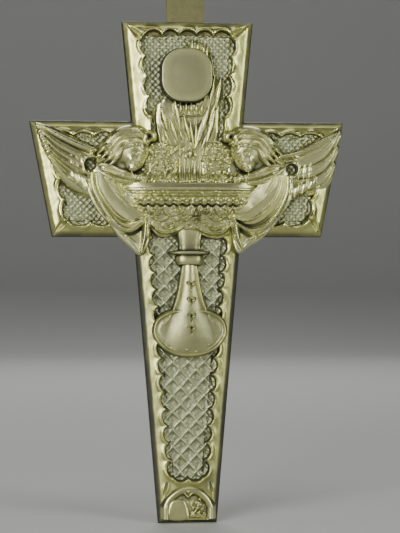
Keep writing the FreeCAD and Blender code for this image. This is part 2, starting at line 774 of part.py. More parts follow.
def make_foot_relief():
    """The arched niche panel at the foot, with a small tomb block and a leafy sprig in it."""
    body = make_body("foot_arch")
    panel = niche_wire(0, size("niche_foot"))
    inside = niche_wire(-size("arch_wide"), size("niche_foot + arch_wide"))
    outside = niche_wire(size("arch_overlap"), size("arch_foot"))
    floor = niche_sketch(body, "niche_floor", "ground_level", [panel])
    pad(body, floor, "ground_level", "arch_floor")
    wall = niche_sketch(body, "niche_wall", "arch_floor", [inside, panel])
    pad(body, wall, "arch_floor", "lip_level")
    arch = niche_sketch(body, "niche_arch", "lip_level", [inside, outside])
    pad(body, arch, "lip_level", "arch_level")
    doc.recompute()
    thread(body, ARCH_SCREWS)
    relief("foot_tomb", TOMB, "arch_floor", "foot_relief_level", join_lines)
    relief("foot_sprig", SPRIG, "arch_floor", "foot_relief_level", join_lines)


# ---------------------------------------------------------------- assembly
make_back_plate()
make_ground_sheet()
make_border_frame()
make_screws("frame_screws", FRAME_SCREWS)
make_screws("mount_screws", MOUNT_SCREWS)
make_hanger_strap()
make_rivets()
make_bail_ring()
make_host()
make_chalice()
make_pair(-1, "left")
make_pair(1, "right")
make_foot_relief()

doc.recompute()
failed = [item.Name for item in doc.Objects if {"Invalid", "Error"} & set(item.State)]
assert not failed, failed
for part in NODES:
    assert not part.Shape.isNull() and part.Shape.isValid(), part.Label
os.makedirs("parts", exist_ok=True)
for part in NODES:
    part.Shape.exportStep("parts/%s.step" % part.Label)
    print("%-16s %8.1f mm3, %d solids" % (part.Label, part.Shape.Volume, len(part.Shape.Solids)))
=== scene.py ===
import math

import bmesh
import bpy
import numpy as np
import openvdb
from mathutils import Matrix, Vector


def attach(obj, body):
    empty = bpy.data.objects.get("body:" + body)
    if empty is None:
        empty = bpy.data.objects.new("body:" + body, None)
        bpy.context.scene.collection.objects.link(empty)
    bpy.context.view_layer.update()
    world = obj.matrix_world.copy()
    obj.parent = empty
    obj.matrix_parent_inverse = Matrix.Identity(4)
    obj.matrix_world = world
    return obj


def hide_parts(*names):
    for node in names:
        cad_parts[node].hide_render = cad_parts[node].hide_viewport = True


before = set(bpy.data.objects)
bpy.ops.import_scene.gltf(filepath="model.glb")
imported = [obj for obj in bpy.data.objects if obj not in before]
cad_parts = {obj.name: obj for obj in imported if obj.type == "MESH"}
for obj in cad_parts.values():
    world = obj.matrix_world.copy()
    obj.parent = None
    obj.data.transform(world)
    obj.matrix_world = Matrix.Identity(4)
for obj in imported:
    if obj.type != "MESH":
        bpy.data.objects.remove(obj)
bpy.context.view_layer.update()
COARSE = 1.0

# Lengths in this script are millimetres until a mesh is made. X is to the right, Z is up, and a
# height is how far a surface stands in front of the plane y = 0, so the surface is at y = -height.
MILLIMETRE = 0.001
# The y at which a casting ends behind: the border, a mount in the field, and what is in the niche.
BACK, MOUNT_BACK, NICHE_BACK = 0.6, 0.1, -2.3
ARMS_MIDDLE = 137.5


# ---------------------------------------------------------------- curves and fields
def smooth_max(a, b, blend):
    if blend <= 0:
        return np.maximum(a, b)
    near = np.maximum(blend - np.abs(a - b), 0.0) / blend
    return np.maximum(a, b) + near * near * blend * 0.25


def smooth_min(a, b, blend):
    return -smooth_max(-a, -b, blend)


def hump(offset, width):
    """A soft bell curve: 1 where the offset is nothing, and falling away on both sides."""
    return np.exp(-(offset / width) ** 2)


def curve(points, per=6, closed=False):
    """A smooth curve through points that may carry any number of values each."""
    p = np.array(points, dtype=float)
    if closed:
        p = np.vstack([p[-1], p, p[0], p[1]])
    else:
        p = np.vstack([2 * p[0] - p[1], p, 2 * p[-1] - p[-2]])
    t = np.linspace(0.0, 1.0, per, endpoint=False)[:, None]
    runs = []
    for i in range(1, len(p) - 2):
        a, b, c, d = p[i - 1:i + 3]
        bend = (2 * a - 5 * b + 4 * c - d) * t ** 2 + (3 * b - a - 3 * c + d) * t ** 3
        runs.append(0.5 * (2 * b + (c - a) * t + bend))
    if not closed:
        runs.append(p[-2:-1])
    return np.vstack(runs)


def outline_distance(x, z, points):
    """Distance to a closed outline, below zero inside it."""
    p = np.asarray(points, dtype=float)[:, :2]
    best = np.full(np.broadcast(x, z).shape, 1e9, dtype=np.float32)
    inside = np.zeros(best.shape, dtype=bool)
    for a, b in zip(p, np.roll(p, -1, axis=0)):
        ex, ez = b - a
        wx, wz = x - a[0], z - a[1]
        t = np.clip((wx * ex + wz * ez) / (ex * ex + ez * ez + 1e-12), 0.0, 1.0)
        best = np.minimum(best, (wx - t * ex) ** 2 + (wz - t * ez) ** 2)
        if abs(ez) > 1e-9:
            inside ^= ((a[1] <= z) != (b[1] <= z)) & (x < a[0] + (z - a[1]) / ez * ex)
    distance = np.sqrt(best)
    return np.where(inside, -distance, distance)


def blur(field, cells):
    """A soft blur of a field, by a number of its cells."""
    pad = int(3 * cells) + 2
    wide = np.pad(field, pad, mode="edge")
    fx = np.fft.fftfreq(wide.shape[0])[:, None]
    fz = np.fft.rfftfreq(wide.shape[1])[None, :]
    kept = np.exp(-2 * (math.pi * cells) ** 2 * (fx * fx + fz * fz))
    soft = np.fft.irfft2(np.fft.rfft2(wide) * kept, s=wide.shape)
    return soft[pad:-pad, pad:-pad].astype(np.float32)


class Relief:
    """A casting in low relief, as a map of heights over x and z."""

    def __init__(self, x0, x1, z0, z1, cell, back=BACK):
        self.cell = cell * COARSE
        self.x = np.arange(x0, x1, self.cell, dtype=np.float32)
        self.z = np.arange(z0, z1, self.cell, dtype=np.float32)
        self.gx, self.gz = np.meshgrid(self.x, self.z, indexing="ij")
        self.back = back
        self.floor = -float(np.max(back)) - 1.0
        self.h = np.full(self.gx.shape, self.floor, dtype=np.float32)

    def window(self, x0, x1, z0, z1):
        def span(low, high, start, count):
            first = int(math.floor((low - start) / self.cell))
            last = int(math.ceil((high - start) / self.cell)) + 1
            return slice(min(max(first, 0), count), min(max(last, 0), count))
        return (span(x0, x1, self.x[0], len(self.x)), span(z0, z1, self.z[0], len(self.z)))

    def around(self, points, reach):
        p = np.asarray(points, dtype=float)
        low, high = p[:, :2].min(axis=0) - reach, p[:, :2].max(axis=0) + reach
        return self.window(low[0], high[0], low[1], high[1])

    def noise(self, size, seed):
        """Smooth noise of a feature size, about -1 to 1."""
        rough = np.random.default_rng(seed).standard_normal(self.h.shape).astype(np.float32)
        soft = blur(rough, size / self.cell * 0.5)
        return soft / (soft.std() * 2.0 + 1e-9)

    def trace(self, points, reach, per):
        """Distance from a curve, the side of it, and the values that the curve carries there."""
        path = curve(points, per)
        win = self.around(path, reach)
        x, z = self.gx[win], self.gz[win]
        best = np.full(x.shape, 1e9, dtype=np.float32)
        side = np.zeros(x.shape, dtype=np.float32)
        carried = [np.zeros(x.shape, dtype=np.float32) for _ in range(path.shape[1] - 2)]
        for a, b in zip(path[:-1], path[1:]):
            ex, ez = b[0] - a[0], b[1] - a[1]
            wx, wz = x - a[0], z - a[1]
            t = np.clip((wx * ex + wz * ez) / (ex * ex + ez * ez + 1e-12), 0.0, 1.0)
            dx, dz = wx - t * ex, wz - t * ez
            d = dx * dx + dz * dz
            near = d < best
            best[near] = d[near]
            side[near] = np.sign(ex * dz - ez * dx)[near]
            for value, first, last in zip(carried, a[2:], b[2:]):
                value[near] = (first + t * (last - first))[near]
        return win, np.sqrt(best), side, carried

    def fill(self, h):
        """Takes a whole map of heights, cut off at the floor."""
        self.h = np.maximum(h, self.floor).astype(np.float32)

    def roughen(self, above, *layers):
        """Gives what stands above a level an uneven skin, from (amount, size, seed) layers."""
        skin = sum(amount * self.noise(size, seed) for amount, size, seed in layers)
        self.h += np.where(self.h > above, skin, 0.0)

    def stroke(self, points, rise=1.0, shape="round", blend=0.3, lean=0.0):
        """Lays a bar along a curve, round, tent or dome in section.

        Points are (x, z, half width, height of its top), and rise is how far its sides drop."""
        reach = max(p[2] for p in points) * 1.7 + 0.3
        win, d, side, (half, top) = self.trace(points, reach, 6)
        u = d / np.maximum(half, 0.05)
        if shape == "round":
            drop = u * u
        elif shape == "tent":
            drop = np.sqrt(u * u + 0.03) - 0.17
        else:
            drop = 1.0 - np.sqrt(np.maximum(1.0 - u * u, 0.0)) + np.maximum(u - 1.0, 0.0) * 6.0
        value = top - rise * drop + lean * side * np.minimum(u, 1.0)
        value = np.where(u > 1.7, self.floor, value)
        self.h[win] = smooth_max(self.h[win], value, blend)

    def leaf(self, x0, z0, x1, z1, first, middle, last, **how):
        """A bar between two ends, with (half width, height) at each end and at its middle."""
        self.stroke([(x0, z0, *first), ((x0 + x1) / 2, (z0 + z1) / 2, *middle), (x1, z1, *last)],
                    **how)

    def emboss(self, points, per=6, sharp=False):
        """Adds a ridge along a curve, or a groove. Points are (x, z, half width, height)."""
        reach = max(p[2] for p in points) + 0.3
        win, d, _, (half, height) = self.trace(points, reach, per)
        u = np.minimum(d / np.maximum(half, 0.05), 1.0)
        bump = (1.0 - u) if sharp else (1.0 - u * u) ** 2
        self.h[win] += height * bump

    def egg(self, x, z, rx, rz, reach, angle=0.0):
        """A window, and how far out in an ellipse each place is: 0 at the middle, 1 at the edge."""
        win = self.window(x - reach, x + reach, z - reach, z + reach)
        c, s = math.cos(angle), math.sin(angle)
        dx, dz = self.gx[win] - x, self.gz[win] - z
        return win, ((dx * c + dz * s) / rx) ** 2 + ((dz * c - dx * s) / rz) ** 2

    def dome(self, x, z, rx, rz, base, top, angle=0.0, blend=0.3):
        """Lays part of an egg-shaped boss on the relief."""
        win, q = self.egg(x, z, rx, rz, max(rx, rz) * 1.3, angle)
        value = base + (top - base) * np.sqrt(np.maximum(1.0 - q, 0.0)) - np.maximum(q - 1, 0) * 8
        self.h[win] = smooth_max(self.h[win], np.maximum(value, self.floor), blend)

    def swell(self, x, z, rx, rz, height):
        """Adds a soft round swelling, or a hollow, to what is there."""
        win, q = self.egg(x, z, rx, rz, max(rx, rz))
        self.h[win] += height * np.maximum(1.0 - q, 0.0) ** 2

    def panel(self, outline, top, edge=0.6, drop=0.6, blend=0.3, wall=9.0, per=6):
        """Lays a sheet with rounded edges, its outline a smooth curve through the points."""
        path = curve(outline, per, closed=True) if per > 1 else np.array(outline, dtype=float)
        win = self.around(path, 0.8)
        x, z = self.gx[win], self.gz[win]
        d = outline_distance(x, z, path)
        level = top(x, z) if callable(top) else top
        inside = np.clip(-d / edge, 0.0, 1.0)
        rounded = drop * (1.0 - np.sqrt(np.maximum(1.0 - (1.0 - inside) ** 2, 0.0)))
        value = np.maximum(level - rounded - wall * np.maximum(d, 0.0), self.floor)
        self.h[win] = smooth_max(self.h[win], value, blend)
        return win, d

    def cast(self, replaced, slot="cast_relief", adapt=0.02, shade=0.0, name=None):
        """Makes the closed mesh that stands for a CAD node, and marks its wear.

        Wear is above 0 on edges that are rubbed and below 0 in sheltered places, as patina. It also
        carries painted shade on steep walls, and shade paints light (above 0) or shade (below 0)
        over the whole piece."""
        name = name or replaced + "_casting"
        cell = self.cell
        h = np.maximum(self.h, self.floor)
        edge = np.zeros(h.shape, dtype=bool)
        edge[:2], edge[-2:], edge[:, :2], edge[:, -2:] = True, True, True, True
        h[edge] = self.floor
        slope_x, slope_z = np.gradient(h, cell)
        steep = np.sqrt(1.0 + slope_x ** 2 + slope_z ** 2)
        front = -float(h.max()) - 3 * cell
        y = np.arange(front, float(np.max(self.back)) + 4 * cell, cell, dtype=np.float32)
        back = np.broadcast_to(np.asarray(self.back, dtype=np.float32), h.shape)
        field = (-y[None, :, None] - h[:, None, :]) / steep[:, None, :]
        field = np.maximum(field, y[None, :, None] - back[:, None, :]) / cell
        grid = openvdb.FloatGrid(3.0)
        grid.copyFromArray(np.clip(field, -3.0, 3.0).astype(np.float32))
        points, tris, quads = grid.convertToPolygons(isovalue=0.0, adaptivity=adapt)
        # how far each place stands out from, or lies below, what is close by and further round it,
        # with painted shade on steep walls, darker the steeper they are
        close, far, soft, deepest, brightest, steep_from = 0.5, 1.5, 0.22, -1.6, 0.75, 1.8
        body = np.maximum(h, -0.4)
        stand = (body - blur(body, close / cell)) * 1.4 + (body - blur(body, far / cell)) * 1.0
        shaded_walls = np.clip(steep - steep_from, 0.0, 2.6)
        stand = np.clip(stand, deepest, brightest) - 0.45 * shaded_walls
        # shade adds painted light, or painted shade, over the whole piece
        stand = blur(stand.astype(np.float32), soft / cell) + shade
        ix = np.clip(points[:, 0], 0, h.shape[0] - 1.001)
        iz = np.clip(points[:, 2], 0, h.shape[1] - 1.001)
        i, k = ix.astype(int), iz.astype(int)
        fx, fz = ix - i, iz - k
        wear_and_shade = (stand[i, k] * (1 - fx) * (1 - fz) + stand[i + 1, k] * fx * (1 - fz)
                + stand[i, k + 1] * (1 - fx) * fz + stand[i + 1, k + 1] * fx * fz)
        low = np.array([self.x[0], front, self.z[0]])
        piece = mesh_piece(name, (points * cell + low) * MILLIMETRE, tris, quads)
        mark = piece.data.attributes.new("wear_and_shade", "FLOAT", "POINT")
        mark.data.foreach_set("value", np.clip(wear_and_shade, -1.5, 1.5).astype(np.float32))
        settle(piece, slot, replaced)
        print("cast %-14s %7d faces" % (name, len(piece.data.polygons)))


def mesh_piece(name, points, tris, quads):
    """An object from points, triangles and quads, smooth all over."""
    mesh = bpy.data.meshes.new(name)
    corners = np.concatenate([tris.ravel(), quads.ravel()]).astype(np.int32)
    counts = np.concatenate([np.full(len(tris), 3), np.full(len(quads), 4)]).astype(np.int32)
    starts = np.concatenate([[0], np.cumsum(counts)[:-1]]).astype(np.int32)
    mesh.vertices.add(len(points))
    mesh.vertices.foreach_set("co", np.asarray(points, dtype=np.float32).ravel())
    mesh.loops.add(len(corners))
    mesh.loops.foreach_set("vertex_index", corners)
    mesh.polygons.add(len(counts))
    mesh.polygons.foreach_set("loop_start", starts)
    mesh.polygons.foreach_set("use_smooth", np.ones(len(counts), dtype=bool))
    mesh.update(calc_edges=True)
    mesh.validate()
    piece = bpy.data.objects.new(name, mesh)
    bpy.context.scene.collection.objects.link(piece)
    return piece


def new_object(name, bm):
    """An object in the scene from a finished bmesh, which it frees."""
    mesh = bpy.data.meshes.new(name)
    bm.to_mesh(mesh)
    bm.free()
    thing = bpy.data.objects.new(name, mesh)
    bpy.context.scene.collection.objects.link(thing)
    return thing


def settle(piece, slot, replaced=None):
    piece.data.materials.append(MATERIALS[slot])
    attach(piece, "cross")
    if replaced:
        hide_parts(replaced)


# ---------------------------------------------------------------- materials
def brass(name, tone, dark, rough, grain=1.0, dull=0.0, brushed=False, mottle=0.34):
    """Brass that is worn bright where it stands out and toned dark where it is sheltered.

    Dull lowers the unworn middle, grain scales the bump, and mottle is how far patches vary. The
    mark it reads also carries painted light and painted shade, which move the colour the same way."""
    material = bpy.data.materials.new(name)
    material.use_nodes = True
    nodes, links = material.node_tree.nodes, material.node_tree.links
    shader = nodes["Principled BSDF"]
    shader.inputs["Metallic"].default_value = 1.0
    where = nodes.new("ShaderNodeTexCoord")

    def noise(scale, detail, roughness):
        texture = nodes.new("ShaderNodeTexNoise")
        texture.inputs["Scale"].default_value = scale
        texture.inputs["Detail"].default_value = detail
        texture.inputs["Roughness"].default_value = roughness
        links.new(where.outputs["Object"], texture.inputs["Vector"])
        return texture

    def math_node(kind, a, b, c=None, clamp=False):
        node = nodes.new("ShaderNodeMath")
        node.operation = kind
        node.use_clamp = clamp
        for socket, value in zip(node.inputs, (a, b, c)):
            if hasattr(value, "links"):
                links.new(value, socket)
            elif value is not None:
                socket.default_value = value
        return node.outputs[0]

    def ramp(value, stops):
        node = nodes.new("ShaderNodeValToRGB")
        links.new(value, node.inputs["Fac"])
        elements = node.color_ramp.elements
        for place, _ in stops[2:]:
            elements.new(place)
        for element, (place, colour) in zip(elements, sorted(stops)):
            element.position = place
            element.color = (*colour, 1.0)
        return node.outputs["Color"]

    patches = noise(260.0 if brushed else 90.0, 4.0, 0.6)
    specks = noise(900.0, 3.0, 0.6)
    wear_and_shade = nodes.new("ShaderNodeAttribute")
    wear_and_shade.attribute_name = "wear_and_shade"
    # sheltered places are 0, plain ones about a half, and edges that are rubbed are 1; painted
    # shade pulls places towards 0 and painted light towards 1
    shelter_and_shade = math_node("MULTIPLY_ADD", wear_and_shade.outputs["Fac"], 0.44, 0.56 - dull * 0.2)
    mottled = math_node("MULTIPLY_ADD", patches.outputs["Fac"], mottle, -mottle / 2)
    total = math_node("ADD", shelter_and_shade, mottled, clamp=True)
    grey = sum(tone) / 3.0
    middle = tuple(d * 0.4 + t * 0.6 for d, t in zip(dark, tone))
    bright = tuple(min(1.0, t * 1.05 + grey * 0.17) for t in tone)
    colour = ramp(total, [(0.0, dark), (1.0, bright), (0.38, middle), (0.66, tone)])
    links.new(colour, shader.inputs["Base Color"])
    roughness = ramp(total, [(0.0, (rough + 0.24,) * 3), (1.0, (rough - 0.03,) * 3)])
    spread = math_node("MULTIPLY_ADD", specks.outputs["Fac"], 0.12, -0.06)
    links.new(math_node("ADD", roughness, spread, clamp=True), shader.inputs["Roughness"])
    fine = noise(1500.0, 4.0, 0.65)
    broad = noise(260.0, 3.0, 0.55)
    if brushed:
        stretch = nodes.new("ShaderNodeMapping")
        stretch.inputs["Scale"].default_value = (1.0, 1.0, 0.03)
        links.new(where.outputs["Object"], stretch.inputs["Vector"])
        links.new(stretch.outputs["Vector"], fine.inputs["Vector"])
    height = math_node("MULTIPLY_ADD", broad.outputs["Fac"], 2.4, fine.outputs["Fac"])
    bump = nodes.new("ShaderNodeBump")
    bump.inputs["Strength"].default_value = 0.5
    bump.inputs["Distance"].default_value = 0.00005 * grain
    links.new(height, bump.inputs["Height"])
    links.new(bump.outputs["Normal"], shader.inputs["Normal"])
    return material


# each finish: tone, toned dark, roughness, grain, dull, brushed, mottle
MATERIALS = {name: brass(name, *values) for name, values in {
    "plain_brass": ((0.40, 0.37, 0.16), (0.12, 0.11, 0.06), 0.40, 1.2, 0.1, True, 1.1),
    "toned_ground": ((0.42, 0.435, 0.245), (0.12, 0.13, 0.11), 0.42, 1.2, 0.2),
    "burnished_border": ((0.53, 0.53, 0.19), (0.10, 0.10, 0.08), 0.27, 0.8),
    "cast_relief": ((0.555, 0.555, 0.262), (0.065, 0.068, 0.058), 0.30, 0.8),
    "hanger_brass": ((0.27, 0.26, 0.12), (0.09, 0.085, 0.05), 0.34, 1.2, 0.1, True, 1.6),
    "fastener_brass": ((0.66, 0.63, 0.42), (0.34, 0.32, 0.2), 0.28, 0.6),
}.items()}


# ---------------------------------------------------------------- shape of the cross
RIGHT_HALF = [(11.8, 0), (21.4, 114.4), (54.2, 114.4), (63.2, 160.6), (22.6, 160.6), (26.4, 200.4)]
CORNERS = [Vector(p) for p in RIGHT_HALF] + [Vector((-x, z)) for x, z in reversed(RIGHT_HALF)]
SIDES = [(7.5, 2.3, 6.8), (6.4, 1.8, 7.6), (8, 1.8, 7.8), (6.2, 1.6, 7.6), (8.6, 2, 8.8)]
BORDERS = SIDES + [(5.6, 2.4, 7.6)] + SIDES[::-1] + [(18.4, 1.5, 5)]


def field_corners():
    """The corners of the cross with each edge drawn in by its border's width."""
    lines = []
    for i, (inset, _, _) in enumerate(BORDERS):
        along = (CORNERS[(i + 1) % 12] - CORNERS[i]).normalized()
        lines.append((CORNERS[i] + Vector((-along.y, along.x)) * inset, along))
    points = []
    for i in range(12):
        (p, a), (q, b) = lines[i - 1], lines[i]
        points.append(p + a * ((q - p).cross(b) / a.cross(b)))
    return points


FIELD = field_corners()


def scallops():
    """Each lobe of the field's edge: its two points, the way out, and how far it bulges."""
    runs = [FIELD[(i + 1) % 12] - FIELD[i] for i in range(12)]
    juts = [runs[i - 1].cross(runs[i]) < 0 for i in range(12)]
    lobes = []
    for i, (_, depth, pitch) in enumerate(BORDERS):
        run = runs[i]
        outward = Vector((run.y, -run.x)).normalized()
        count = max(1, round(run.length / pitch))
        for k in range(count if depth else 0):
            near, far = FIELD[i] + run * (k / count), FIELD[i] + run * ((k + 1) / count)
            shallow = (k == 0 and juts[i]) or (k == count - 1 and juts[(i + 1) % 12])
            lobes.append((near, far, outward, depth * (0.4 if shallow else 1.0)))
    return lobes


def opening_distance(x, z):
    """Distance to the scalloped edge of the field: below zero inside the field."""
    distance = outline_distance(x, z, FIELD)
    for near, far, outward, bulge in scallops():
        half = (far - near).length / 2
        radius = (half * half + bulge * bulge) / (2 * bulge)
        middle = (near + far) / 2
        centre = middle + outward * (bulge - radius)
        disc = np.hypot(x - centre.x, z - centre.y) - radius
        beyond = (x - middle.x) * outward.x + (z - middle.y) * outward.y
        distance = np.minimum(distance, np.maximum(disc, -beyond - 0.3))
    return distance


def inset_distance(x, z):
    """How far a place is in from the edge of the cross, mitred at every corner."""
    def inside(*edges):
        least = None
        for i in edges:
            along = (CORNERS[(i + 1) % 12] - CORNERS[i]).normalized()
            depth = (x - CORNERS[i].x) * -along.y + (z - CORNERS[i].y) * along.x
            least = depth if least is None else np.minimum(least, depth)
        return least
    shaft = np.where(z > ARMS_MIDDLE, -9.0, inside(0, 10, 11))
    head = np.where(z < ARMS_MIDDLE, -9.0, inside(4, 6, 5))
    return np.maximum(np.maximum(shaft, inside(1, 9, 2, 8, 3, 7)), head)


def niche_distance(x, z, grow, low):
    """Distance to the round-topped niche at the foot, below zero inside it."""
    half, spring, crown = 8.8 + grow, 6.4, 13.2 + grow
    rise = crown - spring
    radius = (half * half + rise * rise) / (2 * rise)
    arch = np.hypot(x, z - (crown - radius)) - radius
    return np.maximum(np.maximum(arch, np.abs(x) - half), low - z)


def mount(x0, x1, z0, z1, cell):
    """A relief that goes down to the ground in the field, and just into the border on it."""
    relief = Relief(x0, x1, z0, z1, cell)
    field = opening_distance(relief.gx, relief.gz) < 0.4
    relief.back = np.where(field, MOUNT_BACK, -2.0).astype(np.float32)
    return relief


# ---------------------------------------------------------------- border
def make_border():
    """The bevelled frame, with the scalloped lip of its opening and leaves at its corners."""
    border = Relief(-64.6, 64.6, -1.6, 202.0, 0.25)
    x, z = border.gx, border.gz
    inset = inset_distance(x, z)
    edge = opening_distance(x, z)
    uneven = border.noise(3.0, 11) * (0.12 + 0.2 * np.clip((z - 104.0) / 10.0, 0.0, 1.0))
    h = np.interp(inset, [-1.0, -0.22, 0.0, 2.1, 8.2, 12.0], [-9.0, -1.2, 1.0, 2.6, 3.4, 3.5])
    h = blur(h.astype(np.float32), 0.14 / border.cell)
    lip = 0.5 + 0.4 * border.noise(3.0, 12)
    low_arm = hump(z - 120.0, 7.0) * (np.abs(x) > 26.0)
    h = h + np.maximum(lip, 0.05) * hump(edge - 0.85 - uneven, 0.8) * (1.0 - low_arm)
    h = h + 1.15 * low_arm * hump(edge - 1.1, 1.0)
    h = h + 0.05 * border.noise(2.2, 13) + 0.02 * border.noise(0.8, 14)
    wall = 0.1 + (edge + 0.3 + uneven) * 6.0
    h = smooth_min(h, wall, 0.4)
    niche = niche_distance(x, z, -0.8, 1.15)
    h = np.minimum(h, niche * 12.0 - 0.6)
    border.fill(h)
    chance = np.random.default_rng(15)
    for near, _, outward, _ in scallops():
        if near.y > 18.0:
            spot = near + outward * 0.7
            r = chance.uniform(0.8, 1.2)
            border.swell(spot.x, spot.y, r, r, chance.uniform(0.2, 0.5))
    leaves = [((-16.6, 191.8), (-25, 199.6)), ((15.2, 193), (24.8, 199.8)),
              ((-46.8, 124.6), (-54.6, 113.8)), ((47.4, 126.8), (54.4, 114)),
              ((-8.4, 15.8), (-10.2, 9.6)), ((9, 15.8), (10.2, 9.6))]
    for (x0, z0), (x1, z1) in leaves:
        def at(t, half, height, aside=0.0):
            length = math.hypot(x1 - x0, z1 - z0)
            nx, nz = (z1 - z0) / length, -(x1 - x0) / length
            return (x0 + (x1 - x0) * t + nx * aside, z0 + (z1 - z0) * t + nz * aside, half, height)
        big = 1.35 if z1 > 190 else 1.2 if z1 > 100 else 0.6
        border.emboss([at(0, 0.8 * big, -0.5), at(0.35, 1.25 * big, -0.8 * big),
                       at(0.75, 0.7 * big, -0.5 * big), at(1.0, 0.2, -0.1)], sharp=True)
        for aside in (-1.2 * big, 1.2 * big):
            border.emboss([at(0.05, 0.5, 0.15, aside), at(0.4, 0.6, 0.3, aside * 1.05),
                           at(0.9, 0.3, 0.1, aside * 0.25)])
    # painted shade on the outer bevel, which faces away from the lamps; the border is also made
    # darker down the shaft below z 118 and a little lighter all over as painted light; the noise
    # gives patches of tone
    shade = -1.25 * hump(inset - 0.6, 1.3) + 0.25 * border.noise(6.0, 16)
    shade = shade - 0.75 * np.clip((118.0 - z) / 8.0, 0.0, 1.0) + 0.15
    border.cast("border_frame", "burnished_border", 0.04, shade, "border_casting")


# ---------------------------------------------------------------- ground
def make_ground():
    """The field: a bold lattice with a motif in each cell, and a fine net in the arms."""
    ground = Relief(-56.0, 56.0, 13.0, 196.0, 0.25)
    x, z = ground.gx, ground.gz
    edge = opening_distance(x, z)
    wobble_x = x + 0.16 * ground.noise(3.0, 21)
    wobble_z = z + 0.16 * ground.noise(3.0, 22)

    def lattice(wide, high, start_x, start_z, half):
        """Crossed ribs: their height 0 to 1, and each cell's own centre."""
        u = (wobble_x - start_x) / wide + (wobble_z - start_z) / high
        v = (wobble_x - start_x) / wide - (wobble_z - start_z) / high
        apart = 1.0 / math.hypot(1.0 / wide, 1.0 / high)
        du, dv = np.abs(u - np.round(u)) * apart, np.abs(v - np.round(v)) * apart
        ribs = np.maximum(hump(du, half), hump(dv, half))
        cross = np.exp(-(du ** 2 + dv ** 2) / (half * 1.1) ** 2)
        cu, cv = (np.floor(u) + 0.5), (np.floor(v) + 0.5)
        cx = (cu + cv) / 2 * wide + start_x
        cz = (cu - cv) / 2 * high + start_z
        return ribs, cross, cx, cz, cu, cv

    ribs, cross, cx, cz, cu, cv = lattice(6.4, 6.77, 0.4, 17.0, 0.46)
    shaft = 0.08 + 0.56 * ribs + 0.12 * cross
    shaft = shaft - 0.3 * np.exp(-((wobble_x - cx) ** 2 + (wobble_z - cz - 1.0) ** 2) / 0.75)
    for n in range(3):
        spin = np.sin(cu * (12.9 + n) + cv * (78.2 - 3 * n) + n * 2.1) * 43758.5
        spin = (spin - np.floor(spin)) * 2 * math.pi
        away = 1.05 + 0.25 * np.cos(spin * 3)
        mx, mz = cx + away * np.cos(spin), cz - 0.35 + away * 0.9 * np.sin(spin)
        shaft = shaft + 0.4 * np.exp(-((x - mx) ** 2 + (z - mz) ** 2) / 0.16)
    shaft = shaft + 0.09 * ground.noise(0.9, 23)

    fine, knots, fx, fz, _, _ = lattice(2.5, 2.5, 0.2, 0.4, 0.34)
    net = 0.34 + 0.2 * fine + 0.1 * knots
    net = net - 0.2 * np.exp(-((wobble_x - fx) ** 2 + (wobble_z - fz) ** 2) / 0.25)
    net = net + 0.12 * ground.noise(0.7, 24)
    arms = np.clip((z - 108.0) / 6.0, 0.0, 1.0)
    h = shaft * (1 - arms) + net * arms
    h = h + 0.5 * hump(edge + 0.35, 0.5) * (0.5 + 0.5 * ground.noise(1.2, 25))
    h = np.where(edge < 0.9, h, ground.floor)
    ground.fill(h)
    # painted highlight along the ribs of the shaft's lattice, and a little painted shade over the
    # whole field
    shade = 0.75 * ribs * (1 - arms) - 0.1
    ground.cast("ground_sheet", "toned_ground", 0.06, shade, "ground_lattice")


# ---------------------------------------------------------------- host and glory
def make_host():
    """The plain raised host with its rounded corners."""
    host = Relief(-12.6, 11.4, 166.4, 191.8, 0.17, MOUNT_BACK)
    x, z = host.gx + 0.6, host.gz - 179.0
    qx, qz = np.maximum(np.abs(x) - 1.5, 0.0), np.maximum(np.abs(z) - 2.0, 0.0)
    d = np.hypot(qx, qz) - 8.7
    inside = np.clip(-d / 0.45, 0.0, 1.0)
    h = 6.1 - 0.45 * (1.0 - np.sqrt(1.0 - (1.0 - inside) ** 2)) - 9.0 * np.maximum(d, 0.0)
    h = h + 0.15 * np.clip(-d / 8.0, 0, 1)
    h = h + 0.05 * host.noise(4, 31) + 0.02 * host.noise(1, 32)
    host.fill(h)
    # painted shade: the host darker all over, and darker still on its rounded edge, which would
    # otherwise catch a bright ring of light
    shade = -0.68 - 0.4 * hump(d + 0.2, 0.6)
    host.cast("host_disc", adapt=0.01, shade=shade, name="host_casting")


def lift_behind_rim(relief, rise, reach):
    """Brings the foot of what grows out of the chalice forward to meet its rim."""
    lift = rise * hump(np.maximum(relief.gz - 136.2, 0), reach)
    relief.h += np.where(relief.h > 1.0, lift, 0.0)


